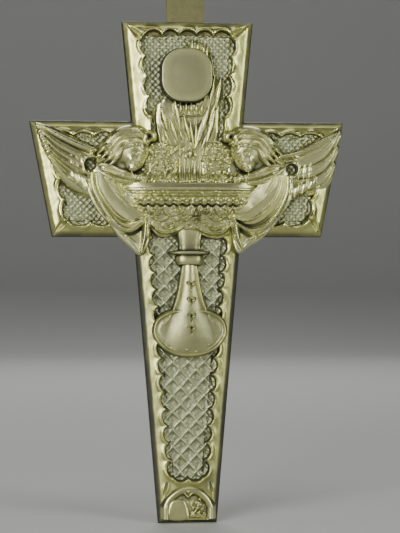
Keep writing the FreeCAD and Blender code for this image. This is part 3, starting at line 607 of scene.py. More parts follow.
def make_glory():
    """Rays round the host and under it, over a sheet that ends behind the rim."""
    glory = Relief(-15.6, 15.6, 134.4, 195.4, 0.16, MOUNT_BACK)
    sheet = [(-4.6, 136.2), (0.9, 135.8), (6.8, 136.2), (8, 147.6), (12, 152), (12.8, 160),
             (13, 169), (12.2, 177), (9.8, 184), (8.6, 190), (4.6, 192.6), (0.4, 191.6), (-4, 185),
             (-8, 178), (-9.6, 171.4), (-12.8, 167), (-12.6, 157), (-8.6, 147.6)]
    glory.panel(sheet, 2.2, 1.8, 1.4)
    glory.roughen(0, (0.12, 1.6, 41), (0.04, 0.8, 42))
    # a hollow round the host's foot, so that it stands clear
    glory.emboss([(-0.6 + 10.6 * math.sin(a), 179.2 - 11.2 * math.cos(a), 1.1, -1.5)
                  for a in np.linspace(-1.5, 1.2, 9)])

    def ray(a, b, half, top):
        glory.leaf(*a, *b, (half * 0.5, top - 0.5), (half * 1.15, top), (half * 0.35, top - 0.3),
                   rise=1.1, blend=0.15)

    # short upright rays over the host's right shoulder, one that slants beside it, two below
    for a, b, half in (((1.5, 187.6), (1.7, 193.4), 0.62), ((3.6, 187.4), (4.1, 193), 0.7),
                       ((5.8, 186.6), (6.5, 191.6), 0.66), ((7.5, 183.4), (7.7, 191), 0.75),
                       ((10.5, 177), (9.1, 188.4), 0.42), ((8.8, 168.4), (10.8, 179.6), 0.9),
                       ((11.2, 166), (13.2, 178), 1.15), ((6.4, 168.8), (8.2, 173.6), 0.7)):
        ray(a, b, half, 3.7)
    # short teeth right under the host
    for i, lean in enumerate((-0.9, -0.5, 0.1, 0.2, 0.5, 1.0)):
        foot = -4.8 + i * 2.0
        ray((foot, 163.6), (foot + lean * 0.6, 168.0), 0.72, 3.6)
    # a sheaf that opens upward from a point above the rim
    sheaf = [((-8.4, 157.2), (-10.8, 166), 0.95), ((-7.4, 151.4), (-9.6, 157.4), 0.7),
             ((-4.2, 152.4), (-7.2, 161.6), 0.9), ((-3.2, 157.6), (-5.2, 168.6), 0.85),
             ((0.8, 152.8), (-1.8, 163.4), 0.8), ((2.4, 149.6), (0.5, 162.2), 0.6),
             ((2.8, 149), (3.4, 162.4), 0.55), ((3, 150), (6.4, 163.4), 0.95),
             ((4.6, 153), (9, 169), 0.95), ((8.4, 159.6), (11.8, 170.6), 0.8),
             ((7.6, 152.4), (10.8, 164.8), 1.1), ((5.2, 149.2), (8.2, 157), 0.7),
             ((-1.6, 152), (-3.6, 157.6), 0.6), ((-11, 150.8), (-12.4, 159.4), 0.7)]
    for i, (a, b, half) in enumerate(sheaf):
        ray(a, b, half, 3.7 + 0.15 * (i % 2))
    glory.stroke([(-5.4, 163.4, 0.4, 3), (0.2, 162.7, 0.4, 3.2), (5.4, 163.2, 0.4, 3)], rise=0.9)
    # broad leaves under the sheaf, and upright stems that go down behind the rim
    for x0, x1, low, high, half in ((-6.6, -3.4, 147.6, 151.6, 1.3), (-2.8, -1, 147.4, 151.4, 1.1),
                                    (6.2, 9.6, 147.4, 152.4, 1.3), (0.4, 1.4, 145, 150.6, 1.1),
                                    (-1.8, -0.2, 144.6, 149, 0.8), (3.2, 2.6, 145.2, 149.4, 0.8)):
        glory.leaf(x0, low, x1, high, (half * 0.3, 2.8), (half, 3.7), (half * 0.2, 2.9),
                   rise=1.3, blend=0.2)
        glory.emboss([(x0, low, 0.3, -0.3), (x1, high, 0.3, -0.4)])
    for x0, x1, low, high, half in ((-9.6, -8, 136.2, 144.4, 0.5), (-7.2, -6.6, 136.2, 142.6, 0.5),
                                    (-5.2, -5.2, 135.8, 145.4, 0.5), (-3.4, -3.4, 136, 146, 0.6),
                                    (-1.5, -1.4, 136.4, 145.4, 0.5), (0.6, 0.3, 136, 144.6, 0.55),
                                    (2.7, 2.5, 136.8, 144.8, 0.8), (4.6, 5, 136, 145.4, 0.5),
                                    (7.6, 6.6, 136.0, 145.6, 0.5)):
        glory.leaf(x0, low, x1, high, (half, 3.2), (half * 1.1, 3.6), (half * 0.6, 3.1),
                   rise=1.3, blend=0.2)
    glory.dome(5.8, 137.6, 1.3, 1.6, 2.0, 4.3)
    glory.stroke([(4.9, 145.2, 0.45, 3.3), (5.8, 146.6, 0.5, 3.5), (6.6, 145.2, 0.45, 3.3)], rise=1)
    lift_behind_rim(glory, 2.2, 2.6)
    # painted light: the rays are made brighter all over
    glory.cast("glory_rays", shade=0.45, name="glory_casting")


def make_grapes(side, which):
    """Fruit and leaves heaped behind the rim, on one side."""
    middle = 0.6 + side * 12.0
    grapes = Relief(middle - 11.0, middle + 11.0, 134.4, 155.6, 0.15, MOUNT_BACK)
    outline = [(-6.6, 135.6), (0, 135.2), (7.6, 136), (9.4, 139.4), (8.6, 143), (7.6, 147.4),
               (3.6, 151.6), (-2.6, 153.2), (-5.4, 150), (-7.4, 144.6), (-7.2, 139.6)]
    outline = [(middle + side * x, z) for x, z in outline]
    grapes.panel(outline, 2.5, 1.4, 1.1)
    chance = np.random.default_rng(51 + side)
    spots = []
    while len(spots) < 62:
        x, z = middle + chance.uniform(-9, 9), chance.uniform(136, 152)
        clear = all(math.hypot(x - a, z - b) > 1.35 for a, b in spots)
        if clear and outline_distance(np.array([x]), np.array([z]), outline)[0] < -0.6:
            spots.append((x, z))
        elif not clear and chance.uniform() < 0.004:
            break
    for i, (x, z) in enumerate(spots):
        if i % 3:
            r = chance.uniform(0.6, 0.95)
            top = 3.3 + chance.uniform(-0.2, 0.6)
            grapes.dome(x, z, r, r, top - 1.1, top, 0.0, 0.15)
            continue
        turn = chance.uniform(0.4, 2.7)
        long, wide = chance.uniform(1.2, 1.9), chance.uniform(0.6, 0.9)
        top = 3.5 + chance.uniform(0, 0.7)
        a = (x - long * math.cos(turn), z - long * math.sin(turn))
        b = (x + long * math.cos(turn), z + long * math.sin(turn))
        grapes.stroke([(*a, 0.3, top - 0.7), (x, z, wide, top), (*b, 0.15, top - 0.5)],
                      rise=0.9, shape="tent", blend=0.12)
        grapes.emboss([(*a, 0.16, -0.2), (x, z, 0.2, -0.3), (*b, 0.12, -0.1)], 3)
    lift_behind_rim(grapes, 2.4, 2.4)
    grapes.roughen(1.0, (0.06, 0.9, 53))
    # painted light: the fruit is made brighter all over
    grapes.cast(which + "_grapes", shade=0.25, name=which + "_grape_casting")


# ---------------------------------------------------------------- chalice
CENTRE = 0.6


def turned(relief, stations, flat=1.0):
    """Lays a flattened turning, from stations of (height, half width, depth)."""
    heights, halves, depths = (np.array(column) for column in zip(*stations))
    z = relief.gz
    half = np.interp(z, heights, halves)
    depth = np.interp(z, heights, depths)
    q = ((relief.gx - CENTRE) / half) ** 2
    h = 0.2 + depth * np.maximum(1.0 - q ** flat, 0.0) ** 0.5
    h = h - 9.0 * half * np.maximum(np.sqrt(q) - 1.0, 0.0)
    outside = np.maximum(heights[0] - z, z - heights[-1])
    h = smooth_min(h, 9.0 - 9.0 * np.maximum(outside + 0.9, 0.0), 0.3)
    relief.fill(h)
    return half


def make_rim():
    """The chalice's rim, whose two ends turn up."""
    rim = Relief(-30.0, 31.4, 131.0, 138.6, 0.16, MOUNT_BACK)
    turned(rim, [(132.2, 27.4, 7), (132.7, 27.8, 7.5), (133.1, 28.2, 8.1), (133.6, 28.2, 8.1),
                 (133.9, 28.1, 7.75), (135, 28.3, 7.5), (136, 28.5, 7.2), (136.6, 28.4, 6.6)], 2.6)
    for side in (-1, 1):
        rim.stroke([(CENTRE + side * 18.0, 136.0, 0.4, 6.6),
                    (CENTRE + side * 24.0, 136.4, 0.7, 6.9),
                    (CENTRE + side * 28.6, 137.0, 0.8, 6.6)], rise=1.2, blend=0.5)
    rim.roughen(1.0, (0.05, 2.5, 61))
    rim.cast("chalice_rim", adapt=0.01, shade=0.0)


def make_bowl():
    """The bowl, with bands of beads, leaves, scrolls and festoons."""
    bowl = Relief(-28.4, 31.0, 112.4, 133.6, 0.16, MOUNT_BACK)
    outline = [(-26.6, 132.7), (-25.4, 129), (-22.6, 126.2), (-19, 122.8), (-16.4, 120.4),
               (-15, 117.6), (-12, 114.6), (-8.6, 114.6), (-5.4, 115.3), (-2.2, 116.8),
               (0.6, 117.1), (3.2, 116.6), (6.2, 114.9), (9.6, 113.9), (13.2, 113.8), (16.4, 115.5),
               (17.6, 119.8), (20.2, 122.6), (24.4, 126), (27.6, 129.2), (28.8, 132.7)]

    def level(x, z):
        half = np.interp(z, [112.0, 118.0, 123.4, 127.4, 132.4], [18.6, 19.0, 22.4, 26.6, 28.6])
        depth = np.interp(z, [113.0, 116.0, 120.0, 123.4, 127.4, 132.4],
                          [4.4, 5.4, 6.2, 6.8, 7.3, 7.5])
        q = np.minimum(((x - CENTRE) / half) ** 2, 0.97)
        return 0.2 + depth * np.sqrt(1.0 - q ** 2.4)
    bowl.panel(outline, level, 0.9, 0.8, per=4)

    def under(points, height, per=6):
        bowl.emboss([(x, z, half * 1.2, height * 1.8 * k) for x, z, half, k in points], per)

    # a raised edge under the rim, then a row of beads, with a scalloped line under it
    under([(-26, 131.3, 1.1, 1), (0.6, 131.1, 1.1, 1), (28, 131.3, 1.1, 1)], -0.55)
    chance = np.random.default_rng(71)
    for i in range(16):
        x = -24.4 + i * 3.36 + chance.uniform(-0.35, 0.35)
        r = 1.0 + chance.uniform(-0.12, 0.2)
        bowl.swell(x, 128.9 + chance.uniform(-0.2, 0.2), r * 1.35, r * 1.75, 1.2)
        bowl.swell(x + 1.7, 128.4, 0.9, 1.3, -0.5)
        swag = [(x - 1.5, 127.4, 0.4, 1), (x, 126.6, 0.5, 1.2), (x + 1.5, 127.4, 0.4, 1)]
        under(swag, -0.45)
        if i % 2:
            bowl.swell(x + 1.5, 126.6, 0.7, 0.8, 0.5)
    # pointed leaves, rings and a small vase in the band under them
    for x in (-10.8, 2.8, 10.0, -17.2, 17.4):
        under([(x - 1.7, 123.0, 0.32, 1), (x - 0.2, 126.0, 0.36, 1.1), (x, 126.2, 0.36, 1.1),
               (x + 0.2, 126.0, 0.36, 1.1), (x + 1.8, 123.0, 0.32, 1)], 0.6)
        bowl.swell(x, 123.8, 0.7, 0.8, 0.5)
    for x, z, r in ((-3.6, 125.4, 1.3), (-14, 124.6, 1.1), (14, 124.6, 1.1), (6.4, 124.8, 1)):
        ring = [(x + r * math.cos(a), z + r * math.sin(a), 0.32, 1)
                for a in np.linspace(0, 6.28, 13)]
        under(ring, 0.55, 3)
        bowl.swell(x, z, 0.55, 0.55, 0.4)
    for z, half in ((123.2, 1.3), (122.2, 1.5), (121.1, 1.4), (120.1, 1)):
        under([(3.0 - half, z, 0.3, 1), (3.0, z - 0.15, 0.32, 1.1), (3.0 + half, z, 0.3, 1)], 0.6)
    scrolls = [[(8, 122.6), (10, 121), (12.6, 121), (14.6, 122.6), (16.6, 121.6)],
               [(-8, 122.4), (-10.2, 120.9), (-12.8, 121), (-14.6, 122.4), (-16.2, 121.4)],
               [(-6.4, 120), (-3.8, 121.4), (-1.2, 120.8), (0.6, 122)]]
    for line in scrolls:
        under([(x, z, 0.36, 1) for x, z in line], 0.6)
        for x, z in line[::2]:
            bowl.swell(x, z + 0.9, 0.8, 0.7, 0.7)
            bowl.swell(x + 0.9, z - 0.8, 0.6, 0.6, 0.5)
    for i in range(46):
        x, z = chance.uniform(-15, 16.6), chance.uniform(118.2, 126.6)
        bowl.swell(x, z, chance.uniform(0.4, 1.1), chance.uniform(0.35, 0.6),
                   chance.uniform(0.3, 0.75))
    for i in range(16):
        x, z = chance.uniform(-13.6, 12.6), chance.uniform(118.4, 124.6)
        under([(x, z, 0.26, 0.6),
               (x + chance.uniform(1, 2.6), z + chance.uniform(-0.5, 0.5), 0.26, 1)],
              0.5, 3)
    # two festoons along the bottom edge, each with a crescent in it
    for line, half, height in (
            ([(-14.6, 119.2), (-11.6, 116.4), (-8, 116), (-4.6, 117), (-2, 118.6)], 0.5, 0.7),
            ([(-13.8, 117.4), (-11.2, 115.2), (-7.6, 115), (-4.2, 116), (-1.8, 117.4)], 0.35, -0.5),
            ([(-9.8, 118.6), (-8, 117.6), (-6.4, 118.3)], 0.6, 0.6),
            ([(2.8, 118.2), (6.4, 116.2), (10, 115.6), (13.6, 116), (16.4, 118.6)], 0.5, 0.7),
            ([(3.2, 117.2), (6.6, 115.3), (10.2, 114.6), (13.8, 115), (16.2, 117)], 0.35, -0.5),
            ([(8.2, 118.2), (10.4, 117.2), (12.6, 118)], 0.6, 0.6)):
        under([(x, z, half, 1) for x, z in line], height)
    bowl.roughen(1.0, (0.12, 0.9, 72))
    bowl.cast("chalice_bowl")


def make_knop():
    """The ringed knop and the short stem above it."""
    knop = Relief(-8.8, 10.0, 101.4, 119.0, 0.15, MOUNT_BACK)
    turned(knop, [(102.9, 4.6, 4.4), (103.3, 5.3, 4.9), (104.6, 5.8, 5.3), (105.8, 5.9, 5.4),
                  (106.9, 5.6, 5.2), (107.2, 5.2, 4.9), (107.6, 8, 6.1), (108.1, 8.4, 6.4),
                  (108.7, 8, 6.1), (109.1, 4.7, 4.6), (110.6, 4.5, 4.4), (113, 4.9, 4.7),
                  (116.4, 5.8, 5), (118.2, 6.2, 5)], 2)
    for side in (-1, 1):
        x = CENTRE + side * 4.1
        knop.emboss([(x, 109.6, 0.45, 0.9), (x, 113.0, 0.5, 1.0),
                     (x + side * 0.4, 116.0, 0.4, 0.6)])
    knop.roughen(1.0, (0.05, 1.4, 73))
    # painted shade: the knop is made darker all over
    knop.cast("chalice_knop", adapt=0.01, shade=-0.6)


def make_chalice_foot():
    """The trumpet foot on its oval disc."""
    foot = Relief(-16.6, 17.8, 65.0, 104.4, 0.16, MOUNT_BACK)
    right = [(6, 67.2), (11.4, 70.2), (15, 75.8), (13.6, 81.6), (8, 85)]
    disc = [(CENTRE, 66.4)] + [(CENTRE + x, z) for x, z in right]
    disc += [(CENTRE, 86.0)] + [(CENTRE - x, z) for x, z in reversed(right)]
    win, d = foot.panel(disc, 4.5, 0.8, 0.7)
    # its turned-up rim
    foot.h[win] += np.where(d < 0.6, 0.75 * hump(d + 0.9, 0.5), 0.0)
    foot.h[win] -= np.where(d < 0.6, 0.25 * hump(d + 2.2, 0.6), 0.0)
    z = foot.gz
    half = np.interp(z, [66.0, 72.0, 75.6, 78.6, 81.4, 84.0, 87.0, 90.4, 94.0, 98.4, 103.2],
                     [13.2, 13.0, 12.0, 10.6, 9.2, 8.0, 6.8, 5.7, 4.8, 4.0, 3.4])
    depth = np.interp(z, [66.0, 69.0, 74.0, 80.0, 86.4, 93.6, 103.2],
                      [3.6, 4.8, 5.7, 6.1, 5.9, 4.9, 3.8])
    half = blur(half.astype(np.float32), 1.0 / foot.cell)
    depth = blur(depth.astype(np.float32), 1.4 / foot.cell)
    q = ((foot.gx - CENTRE) / half) ** 2
    bell = 0.2 + depth * np.maximum(1.0 - q, 0.0) ** 0.5
    bell = bell - 9.0 * half * np.maximum(np.sqrt(q) - 1, 0)
    inside = outline_distance(foot.gx, z, curve(disc, 6, closed=True))
    bell = np.where(z < 82.0, bell - 2.0 * np.maximum(inside + 1.9, 0.0), bell)
    bell = np.where(z < 103.6, bell, foot.floor)
    foot.h = smooth_max(foot.h, np.maximum(bell, foot.floor).astype(np.float32), 0.9)
    for side in (-1, 1):
        edge = [(3, 102.8), (3.9, 96.6), (5, 91), (6.6, 85.8), (8.8, 81.4), (10.4, 79.6)]
        foot.stroke([(CENTRE + side * (x - 0.3), y, 0.45, 3.7 + 0.05 * (103 - y)) for x, y in edge],
                    rise=0.9, blend=0.3)
    for low in (95.4, 89.0, 82.8, 78.0):
        for side in (-1, 1):
            foot.swell(CENTRE + 0.5 + side * 1.15, low + 0.7, 0.95, 0.8, 0.75)
            foot.emboss([(CENTRE + 0.5 + side * 1.5, low + 0.2, 0.28, 0.3),
                         (CENTRE + 0.5, low - 1.4, 0.32, 0.55)], 2)
        foot.swell(CENTRE + 0.5, low + 0.1, 0.55, 1.1, -0.6)
        foot.swell(CENTRE + 0.5, low - 2.2, 0.4, 1.0, -0.3)
    for x, z0 in ((-6.6, 70), (3.2, 68.7), (-0.6, 69.4), (7.8, 71.2)):
        foot.swell(x, z0, 0.6, 0.35, 0.3)
    foot.roughen(1, (0.05, 1.6, 81), (0.02, 0.7, 82))
    # painted shade: the foot is made darker all over
    foot.cast("chalice_foot", adapt=0.01, shade=-0.5)


# ---------------------------------------------------------------- angels
GAPS = {-1: (-39.2, 143.2), 1: (41.6, 141.6)}


def gap(relief, side):
    """Opens the small round gap between a wing's root and the body."""
    x, z = GAPS[side]
    d = np.hypot(relief.gx - x, relief.gz - z) - 2.0
    relief.fill(smooth_min(relief.h, d * 7.0 + 1.5, 0.3))


HEAD = 1.48  # the head's size over that of the plan it is drawn to
BOW = 0.5


def make_angel(side, which):
    """Head, neck, shoulder and arm, bowed over the rim. The face is a plain, calm one."""
    cx = 0.6 + side * 24.6
    ends = sorted((cx + side * 14.6, cx - side * 11.6))
    angel = mount(*ends, 134.6, 160.6, 0.13)

    def place(dx, z, *rest):
        """A place on the body, measured outward from the head, with what it carries."""
        return (cx + side * dx, z, *rest)

    def at(u, v, *rest):
        """A place on the bowed head, forward and up from its middle."""
        u, v = u * HEAD, v * HEAD
        c, s = math.cos(BOW), math.sin(BOW)
        return (0.7 + side * 23.6 - side * (u * c + v * s), 148.2 - u * s + v * c, *rest)

    def bar(*points, **how):
        angel.stroke([place(*p) for p in points], **how)

    def line(*points):
        angel.emboss([at(*p) for p in points])

    def press(u, v, rx, rz, height):
        angel.swell(*at(u, v), rx, rz, height)

    # what lies behind, so that no gap opens between the head, the arm and the fruit
    behind = [(12, 145.6), (8.6, 149.6), (0, 151), (-6.6, 150), (-9.4, 145), (-8.6, 138.4),
              (-2, 136.2), (6, 138.2), (12.6, 140.4)]
    angel.panel([place(x, z) for x, z in behind], 2.7, 1.4, 1.0)
    # shoulder, back and the arm that reaches down to the rim
    bar((11.6, 146.6, 1.4, 4.6), (9, 146.2, 2.2, 5.4), (5.6, 146.4, 3, 5.9),
        (2.2, 146.4, 3.2, 6.0), rise=2.6, shape="dome", blend=0.8)
    bar((12.2, 142.4, 1.5, 5.4), (8.6, 141.6, 2.4, 6.2), (3.6, 139.8, 2.1, 6.9),
        (-1.6, 138.2, 1.7, 7.3), (-5.4, 137.6, 1.3, 7.7), rise=2.2, shape="dome", blend=0.7)
    bar((10.6, 143.6, 1.6, 4.4), (5, 143.6, 2.4, 5), (0, 141.4, 1.8, 5.2),
        rise=2.0, shape="dome", blend=0.8)
    # folds of the sleeve, and a cuff
    for points in (((11.4, 143.6), (8, 143.2), (4.4, 141.6)),
                   ((12, 141.6), (8.4, 140.4), (5.2, 139)),
                   ((9.4, 142.4), (5.6, 141.2), (2.4, 139.8)),
                   ((4, 141.2), (0.6, 139.6), (-1.4, 139.2))):
        angel.emboss([place(x, z, 0.42, 0.42) for x, z in points])
        angel.emboss([place(x, z - 0.85, 0.36, -0.3) for x, z in points])
    bar((-1.2, 139.9, 0.4, 7.5), (-2, 138.2, 0.45, 7.9), (-2.2, 136.6, 0.4, 7.5), rise=0.8)
    # the rim's turned-up end, which runs on along the sleeve to the shoulder
    bar((-1, 135.8, 0.9, 7.2), (5, 137, 1.15, 7.2), (10, 139.4, 1, 6.7),
        (13.4, 141.8, 0.6, 5.8), rise=1.3)
    # hand laid on the rim: back of the hand, fingers and thumb
    angel.dome(*place(-4.2, 137.7), 1.7, 1.15, 6.4, 8.1, side * 0.2)
    for k in range(4):
        z = 138.3 - k * 0.62
        bar((-5.0, z, 0.36, 7.9), (-6.6, z - 0.25, 0.34, 8.0), (-7.6 + 0.2 * k, z - 0.6, 0.26, 7.7),
            rise=0.7, blend=0.12)
    bar((-4, 138.7, 0.4, 7.7), (-5.2, 139.2, 0.36, 7.8), rise=0.7, blend=0.2)
    # neck, then the head's mass and the face in three-quarter view
    angel.stroke([at(-1.4, -2.2, 2.3, 6.2), at(-3.4, -5, 2.6, 5.6)], rise=2, shape="dome",
                 blend=0.6)
    angel.dome(*at(-0.2, 0.7), 7.2, 7.3, 3.0, 8.0, 0.0, 0.5)
    angel.dome(*at(1.7, -1.1), 4.3, 5.6, 4.2, 7.9, side * 0.5, 0.4)
    angel.dome(*at(2.4, -3.5), 2.1, 1.8, 5.8, 7.6, 0.0, 0.4)
    # brow, eye hollows, eyeballs and lids
    line((-0.2, 1, 0.5, 0.2), (1.1, 1.35, 0.55, 0.3), (2.4, 1, 0.5, 0.3), (3.9, 1, 0.4, 0.2))
    press(1.05, 0.2, 1.6, 1.2, -0.85)
    press(3.85, 0.15, 1.15, 1.1, -0.7)
    press(1.05, 0.1, 1.05, 0.72, 0.55)
    press(3.75, 0.05, 0.8, 0.65, 0.45)
    line((0.3, -0.05, 0.16, -0.2), (1.05, -0.32, 0.18, -0.28), (1.8, -0.1, 0.16, -0.2))
    line((3.3, -0.12, 0.14, -0.2), (3.8, -0.35, 0.16, -0.24), (4.3, -0.15, 0.14, -0.16))
    # nose and its wings, lips and the line between them, cheek
    line((2.55, 1, 0.5, 0.3), (2.8, -0.2, 0.55, 0.7), (3.05, -1.25, 0.62, 0.95))
    press(2.5, -1.4, 0.65, 0.5, 0.4)
    press(3.6, -1.35, 0.52, 0.45, 0.35)
    line((1.7, -2.4, 0.3, 0.2), (2.75, -2.18, 0.36, 0.42), (3.7, -2.35, 0.28, 0.2))
    line((1.8, -2.62, 0.14, -0.22), (2.75, -2.55, 0.16, -0.3), (3.6, -2.6, 0.14, -0.2))
    line((2, -2.95, 0.3, 0.2), (2.75, -2.98, 0.36, 0.4), (3.4, -2.9, 0.28, 0.2))
    press(0.7, -1.8, 2.0, 2.0, 0.4)
    # hair: long waved locks, swept back from the brow over the crown and down to the nape
    for i, lock in enumerate((
            ((-8.4, 153.4), (-5.2, 156.4), (-0.6, 156.9), (4.2, 155.7), (8, 152), (10.2, 149.4),
             (12.2, 147.4)),
            ((-7.8, 152.2), (-4.6, 154.5), (-0.4, 154.8), (3.6, 153.8), (7, 150), (8.8, 147.6),
             (11, 145.4)),
            ((-6.6, 151.2), (-3.8, 152.7), (-0.2, 152.7), (3.2, 151.8), (5.8, 148.2), (7.6, 145.8),
             (9.8, 143.8)),
            ((-5.2, 150.4), (-2.8, 151.1), (0.2, 150.7), (2.8, 149.6), (4.6, 146.6), (6.2, 144.2),
             (7.8, 142.8)))):
        tops = [top + 0.4 * math.sin(2.2 * k + 1.9 * i)
                for k, top in enumerate((6.0, 7.0, 7.4, 7.2, 6.7, 6.4, 5.8))]
        halves = (0.8, 1.2, 1.3, 1.15, 1.3, 1.0, 0.4)
        bar(*[(x, z, w, top + 0.5 * i) for (x, z), w, top in zip(lock, halves, tops)],
            rise=1.25, blend=0.03, lean=-side * 0.25)
        for shift in (-0.45, 0.45):
            angel.emboss([place(x + shift * 0.5, z + shift, 0.22, -0.22) for x, z in lock[1:-1]])
    # forelocks that curl over the brow, and flicked ends at the nape
    for lock in (((-4.6, 156.2), (-6.6, 154.4), (-6.2, 152.6), (-7.4, 150.8)),
                 ((-7.4, 156), (-9.4, 155.4), (-10, 153.8), (-8.6, 153)),
                 ((-3.2, 151.6), (-5, 150.9), (-5.6, 149.4)),
                 ((9.2, 150.4), (7.6, 151), (6.6, 150.2)), ((9, 147.2), (8.2, 148.2), (6.8, 148)),
                 ((12.6, 143.8), (11.2, 144.8), (9.6, 145.2))):
        last = len(lock) - 1
        bar(*[(x, z, 0.95 if 0 < i < last else 0.5, 7.9 if lock[0][0] < 0 else 7.2)
              for i, (x, z) in enumerate(lock)], rise=0.9, blend=0.1)
    angel.roughen(0.5, (0.03, 0.8, 92))
    gap(angel, side)
    # painted light: the angel is made brighter all over
    angel.cast(which + "_angel", shade=0.25)


# ---------------------------------------------------------------- wings
def finish_wing(wing, side, band, under, knob, ring, seed, shade):
    """The leading edge with a groove under it and a knob at its root, and a ring round the gap."""
    wing.stroke(band, rise=0.7, blend=0.05)
    wing.emboss(under)
    wing.dome(*knob, 0, 0.1)
    wing.stroke([(x, z, 0.62, 5.1) for x, z in ring], rise=0.8, blend=0.15)
    gap(wing, side)
    wing.roughen(0.5, (0.03, 0.9, seed))
    wing.cast("left_wing" if side < 0 else "right_wing", shade=shade)


def make_left_wing():
    """A wing of six long narrow feathers."""
    wing = mount(-62.6, -33.4, 127.2, 161.4, 0.145)
    sheet = [(-60.2, 159), (-49, 152.4), (-38.6, 148.2), (-37, 145.8), (-39.8, 141.4),
             (-36.8, 138.2), (-37, 132), (-39, 130.4), (-44.2, 133.8), (-49, 137.6), (-52.6, 141.8),
             (-55.6, 146.4), (-57.6, 151.2), (-59.2, 155.6)]
    wing.panel(sheet, 3.9, 0.5, 0.5, per=3)
    quills = [[(-39.6, 131.6), (-44.4, 134.8), (-49.8, 139.4), (-55.2, 146)],
              [(-39.4, 134.4), (-44.8, 137.2), (-50.6, 141.6), (-56.8, 148.4)],
              [(-40, 137), (-45.4, 139.8), (-51.4, 144.2), (-57.8, 150.8)],
              [(-40.4, 139.8), (-46, 142.2), (-52.2, 146.4), (-58.2, 152.4)],
              [(-40.8, 142.6), (-46.8, 145.4), (-53, 149.4), (-59, 155.2)],
              [(-40.6, 145.4), (-47.2, 148.6), (-53.6, 152.4), (-59.8, 157.6)]]
    for i, quill in enumerate(quills):
        # a flat pointed vane that lies over the one before, with its shaft
        top = 4.2 + 0.08 * i
        wing.stroke([(x, z, 1.85 * w, top + 0.5 * rise) for (x, z), w, rise in
                     zip(quill, (0.6, 1, 0.95, 0.3), (0.3, 0.6, 0.8, 0.55))],
                    rise=0.9, blend=0.05, lean=-0.12)
        wing.emboss([(x, z, 0.4, height) for (x, z), height in zip(quill, (0.15, 0.2, 0.2, 0.0))])
    for low, high in zip(quills, quills[1:]):
        wing.emboss([((a[0] + b[0]) / 2, (a[1] + b[1]) / 2, 0.42, -0.75) for a,
                     b in zip(low, high)])
    # coverts: short upright feathers near the root, and broad leaf-like ones under them
    for i in range(3):
        x = -46.4 + i * 2.1
        wing.stroke([(x - 0.3, 147.2 - i * 0.3, 0.5, 4.4), (x, 144.6 - i * 0.3, 1.0, 4.8),
                     (x + 0.5, 141.8 - i * 0.2, 0.5, 4.4)], rise=0.5, blend=0.15)
    for ends in ((-47, 141.2, -44.2, 136), (-44.2, 140, -41.6, 134.2), (-41.4, 137.6, -39, 131.8)):
        wing.leaf(*ends, (0.5, 4.6), (1.45, 5.1), (0.5, 4.7), rise=0.7, shape="tent", blend=0.1)
    # the tips of the long feathers, a row of small lobes down the outer edge
    for i in range(5):
        t = (i + 0.5) / 5
        wing.dome(-59.4 + 4.0 * t, 157.2 - 10.0 * t, 1.15, 1.5, 4.0, 5.6, -0.4, 0.05)
    # painted light: the last number makes the wing brighter all over
    finish_wing(wing, -1,
                [(-60.4, 159.3, 0.35, 4.7), (-55.2, 156.6, 1, 5.2), (-48.6, 153.2, 1.25, 5.4),
                           (-42.4, 150.6, 1.2, 5.3), (-37.4, 149, 0.9, 5.1)],
                [(-57.6, 156.4, 0.3, -0.5), (-50, 152.2, 0.4, -0.8), (-43.6, 149.2, 0.4, -0.7),
                 (-38.6, 147.6, 0.3, -0.3)], (-38.8, 147.4, 1.05, 1.05, 4.4, 5.6),
                [(-36.7, 146), (-38.4, 146.2), (-40.6, 145.6), (-41.9, 143.4), (-41.4, 141),
                 (-39.6, 139.2)],
                93, 0.45)


